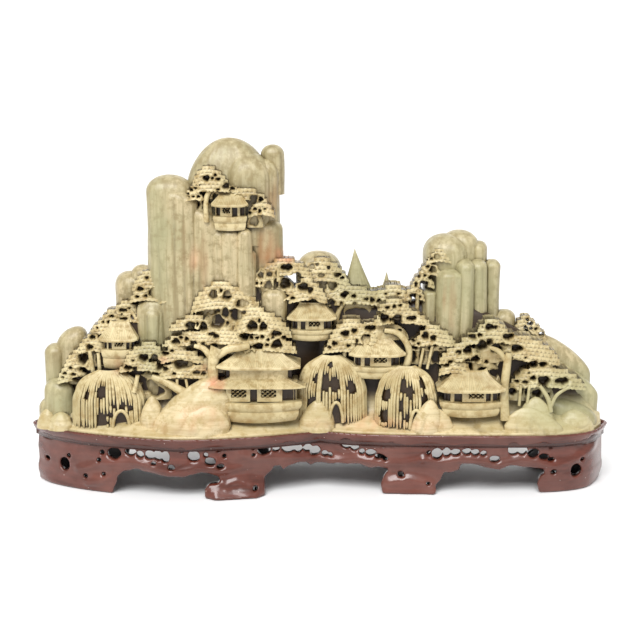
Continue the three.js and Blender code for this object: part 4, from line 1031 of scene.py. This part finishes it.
def willow(left, right, front, depth, base, top, door, openings, seed=0):
    rng = np.random.default_rng(seed)
    middle, half = (left + right) / 2, (right - left) / 2
    centre_y, thick = front + depth / 2, depth / 2
    share = np.linspace(0, 1, 30)[:, None]
    angle = np.linspace(0, 2 * np.pi, 72, endpoint=False)[None]
    # The inner dome is painted fully dark as shade and shows through the openings.
    skins = [skin(
        middle + (half - 5) * dome(share) * np.cos(angle), centre_y + (thick - 5) * dome(share) * np.sin(angle),
        base + (top - base - 4) * share + 0 * angle, True, 1,
    )]
    count = int(np.pi * np.sqrt((half**2 + thick**2) / 2) * 1.06 / STRAND_PITCH)
    door_side, door_half = door
    for i in range(count):
        way = np.pi * (1.02 + 0.96 * (i + 0.5) / count) + rng.uniform(-0.02, 0.02)
        aside = np.cos(way)
        spans = [(0.99, rng.uniform(-0.01, 0.05))]
        arch = 1 - ((aside - door_side) / door_half) ** 2
        if arch > 0:
            spans = [(0.99, 0.27 * math.sqrt(arch) + 0.06)]
        for side, level, wide, high in openings:
            reach = 1 - ((aside - side) / wide) ** 2
            if reach <= 0:
                continue
            gap_top = level + high * math.sqrt(reach) - rng.uniform(0, 0.05)
            gap_foot = level - high * math.sqrt(reach)
            spans = [part for a, b in spans for part in (
                [(a, max(b, gap_top)), (min(a, gap_foot), b)] if a > gap_foot and b < gap_top else [(a, b)]
            )]
        puff = rng.uniform(-0.3, 0.7)
        for start, end in spans:
            if start - end < 0.06:
                continue
            ts = np.linspace(start, end, max(3, int((start - end) * 10)))
            radius = dome(np.minimum(ts, 0.97))
            path = np.stack([
                middle + (half - 1.6 + puff) * radius * aside, centre_y + (thick - 1.6 + puff) * radius * np.sin(way),
                base + (top - base - 1.5) * ts,
            ], 1)
            ends = [1.2] + [1.62] * (len(ts) - 2) + [0.5]
            skins.append(tube(path, ends, 6, steps=3 * len(ts)))
    rim_turn = np.linspace(0, np.pi, 12)
    rim_side = door_side + door_half * 1.1 * np.cos(rim_turn)
    rim_level = 0.02 + 0.3 * np.sin(rim_turn)
    rim = np.stack([
        middle + (half - 1) * rim_side, centre_y - (thick - 0.5) * np.sqrt(np.maximum(0, 1 - rim_side**2)),
        base + (top - base) * rim_level,
    ], 1)
    skins.append(tube(rim, [1.8] * 12, 8, steps=30))
    return skins


willows = stone_piece("willows", [part for i, size in enumerate(WILLOWS) for part in willow(**size, seed=300 + i)], leaf_stone)

# Age and painted shade. Each point of the stone is darkened as deep as the carving hides it, which is
# painted shade and stands also for old dirt, and veins of rust and blush cross the block in a few places;
# both are worked out here for every piece of the stone.
OCCLUSION_CELL = 2.2
STAINS = [
    ("rust", -55, 246, 16, 24, 0.75), ("rust", -48, 300, 9, 26, 0.35), ("rust", 136, 190, 5, 32, 0.55),
    ("rust", 128, 200, 3, 26, 0.3), ("blush", -34, 240, 16, 9, 0.9), ("rust", -34, 236, 12, 6, 0.3),
    ("blush", -106, 114, 12, 9, 0.85), ("rust", -102, 112, 4, 5, 0.4), ("rust", -206, 131, 14, 11, 0.5),
    ("rust", -150, 72, 36, 8, 0.3), ("blush", -120, 84, 30, 14, 0.35), ("blush", 60, 72, 90, 9, 0.3),
    ("rust", -118, 230, 5, 40, 0.4), ("rust", -137, 250, 4, 30, 0.25), ("blush", -128, 240, 8, 20, 0.4),
    ("green", 250, 95, 70, 40, 0.55), ("green", 150, 200, 50, 60, 0.45), ("green", -165, 250, 14, 70, 0.4),
    ("green", -172, 150, 20, 40, 0.4), ("green", 43, 215, 40, 40, 0.45), ("green", -270, 100, 26, 34, 0.35),
    ("rust", -90, 76, 30, 7, 0.2), ("blush", -160, 136, 12, 6, 0.4), ("blush", -118, 128, 10, 5, 0.5),
]
OCCLUSION_WAYS = np.array([
    (0, -1, 0), (0, -1, 0.6), (0, -0.6, 1), (0, 0, 1), (0.8, -1, 0.3), (-0.8, -1, 0.3), (1, -0.3, 0.4),
    (-1, -0.3, 0.4), (0.5, -1, -0.3), (-0.5, -1, -0.3), (0, 1, 0.6), (0.6, 0.6, 0.6), (-0.6, 0.6, 0.6),
])
OCCLUSION_WAYS /= np.linalg.norm(OCCLUSION_WAYS, axis=1)[:, None]


def read_points(piece, field, kind):
    source = piece.data.vertices if kind == "co" else piece.data.polygons
    values = np.empty(3 * len(source), np.float32)
    source.foreach_get(field, values)
    return values.reshape(-1, 3)


low_corner = np.array([-310, -90, 50.0])
filled = np.zeros((290, 84, 145), bool)
for piece in stone_pieces:
    for points in (read_points(piece, "co", "co"), read_points(piece, "center", "faces")):
        cells = ((points * 1000 - low_corner) / OCCLUSION_CELL).astype(int)
        cells = np.clip(cells, 0, np.array(filled.shape) - 1)
        filled[cells[:, 0], cells[:, 1], cells[:, 2]] = True
# Painted shade from occlusion: each point is darkened by how much nearby stone blocks the ways out from it, standing
# also for the dirt and wax in deep hollows.
for piece in stone_pieces:
    points = read_points(piece, "co", "co") * 1000
    normals = np.empty(3 * len(points), np.float32)
    piece.data.vertex_normals.foreach_get("vector", normals)
    normals = normals.reshape(-1, 3)
    hidden, weights = np.zeros(len(points)), np.zeros(len(points))
    for way in OCCLUSION_WAYS:
        weight = np.clip(normals @ way + 0.1, 0, 1)
        blocked = np.zeros(len(points))
        for distance in (3.5, 5.5, 8, 11, 15, 20):
            cells = ((points + normals * 1.5 + way * distance - low_corner) / OCCLUSION_CELL).astype(int)
            inside = ((cells >= 0) & (cells < filled.shape)).all(1)
            cells = np.clip(cells, 0, np.array(filled.shape) - 1)
            hit = filled[cells[:, 0], cells[:, 1], cells[:, 2]] & inside
            blocked = np.maximum(blocked, hit * (1 - distance / 30))
        hidden += weight * blocked
        weights += weight
    occluded = ease(0.42, 0.8, hidden / np.maximum(weights, 0.01))
    dirt_and_shade_amount = np.empty(len(points), np.float32)
    piece.data.attributes["dirt_and_shade"].data.foreach_get("value", dirt_and_shade_amount)
    dirt_and_shade_amount = np.clip(1 - (1 - dirt_and_shade_amount) * (1 - 0.75 * occluded), 0, 1)
    piece.data.attributes["dirt_and_shade"].data.foreach_set("value", dirt_and_shade_amount.astype(np.float32))
    amounts = {"rust": np.zeros(len(points)), "blush": np.zeros(len(points)), "green": np.zeros(len(points))}
    vein = waver(points[:, 0], points[:, 1], 0.3 * points[:, 2], 7, 401)
    for kind, x, z, wide, high, strength in STAINS:
        reach = np.hypot((points[:, 0] - x) / wide, (points[:, 2] - z) / high)
        uneven = 1 if kind == "green" else np.clip(0.7 + 0.5 * vein, 0.1, 1.2)
        amounts[kind] = np.maximum(amounts[kind], strength * uneven * ease(1.15, 0.3, reach))
    for kind, amount in amounts.items():
        layer = piece.data.attributes.new(kind, "FLOAT", "POINT")
        layer.data.foreach_set("value", amount.astype(np.float32))

# A plain pale floor and soft studio light from above and in front.
floor_finish = bpy.data.materials.new("pale_floor")
floor_finish.use_nodes = True
floor_shader = floor_finish.node_tree.nodes["Principled BSDF"]
floor_shader.inputs["Base Color"].default_value = (0.88, 0.88, 0.88, 1)
floor_shader.inputs["Roughness"].default_value = 0.9
floor_shader.inputs["Specular IOR Level"].default_value = 0.1
run = np.r_[-4, 6, 8, 9.4, 10, 10]
rise = np.r_[0, 0, 0.3, 1.4, 3, 12]
floor_mesh = bpy.data.meshes.new("floor")
floor_mesh.from_pydata(
    [(x, y, z) for y, z in zip(run, rise) for x in (-12, 12)], [],
    [(2 * i, 2 * i + 1, 2 * i + 3, 2 * i + 2) for i in range(len(run) - 1)],
)
floor_mesh.shade_smooth()
floor_mesh.materials.append(floor_finish)
floor = bpy.data.objects.new("floor", floor_mesh)
bpy.context.scene.collection.objects.link(floor)

overhead_data = bpy.data.lights.new("overhead", "SUN")
overhead_data.angle = math.radians(38)
overhead_data.energy = 2.9
overhead = bpy.data.objects.new("overhead", overhead_data)
bpy.context.scene.collection.objects.link(overhead)
overhead.rotation_euler = (math.radians(38), 0, math.radians(-16))
world = bpy.data.worlds.new("studio")
bpy.context.scene.world = world
world.use_nodes = True
world.node_tree.nodes["Background"].inputs["Color"].default_value = (1, 1, 1, 1)
world.node_tree.nodes["Background"].inputs["Strength"].default_value = 0.6
bpy.context.scene.view_settings.view_transform = "Standard"

ELEVATION = math.radians(12)
AIM = (0, 0, 0.171)
DISTANCE = 1.5
camera_data = bpy.data.cameras.new("camera")
camera_data.lens = 81.1
camera_data.sensor_width = 36
camera = bpy.data.objects.new("camera", camera_data)
bpy.context.scene.collection.objects.link(camera)
camera.location = (0, -DISTANCE * math.cos(ELEVATION), AIM[2] + DISTANCE * math.sin(ELEVATION))
camera.rotation_euler = (math.pi / 2 - ELEVATION, 0, 0)
bpy.context.scene.camera = camera
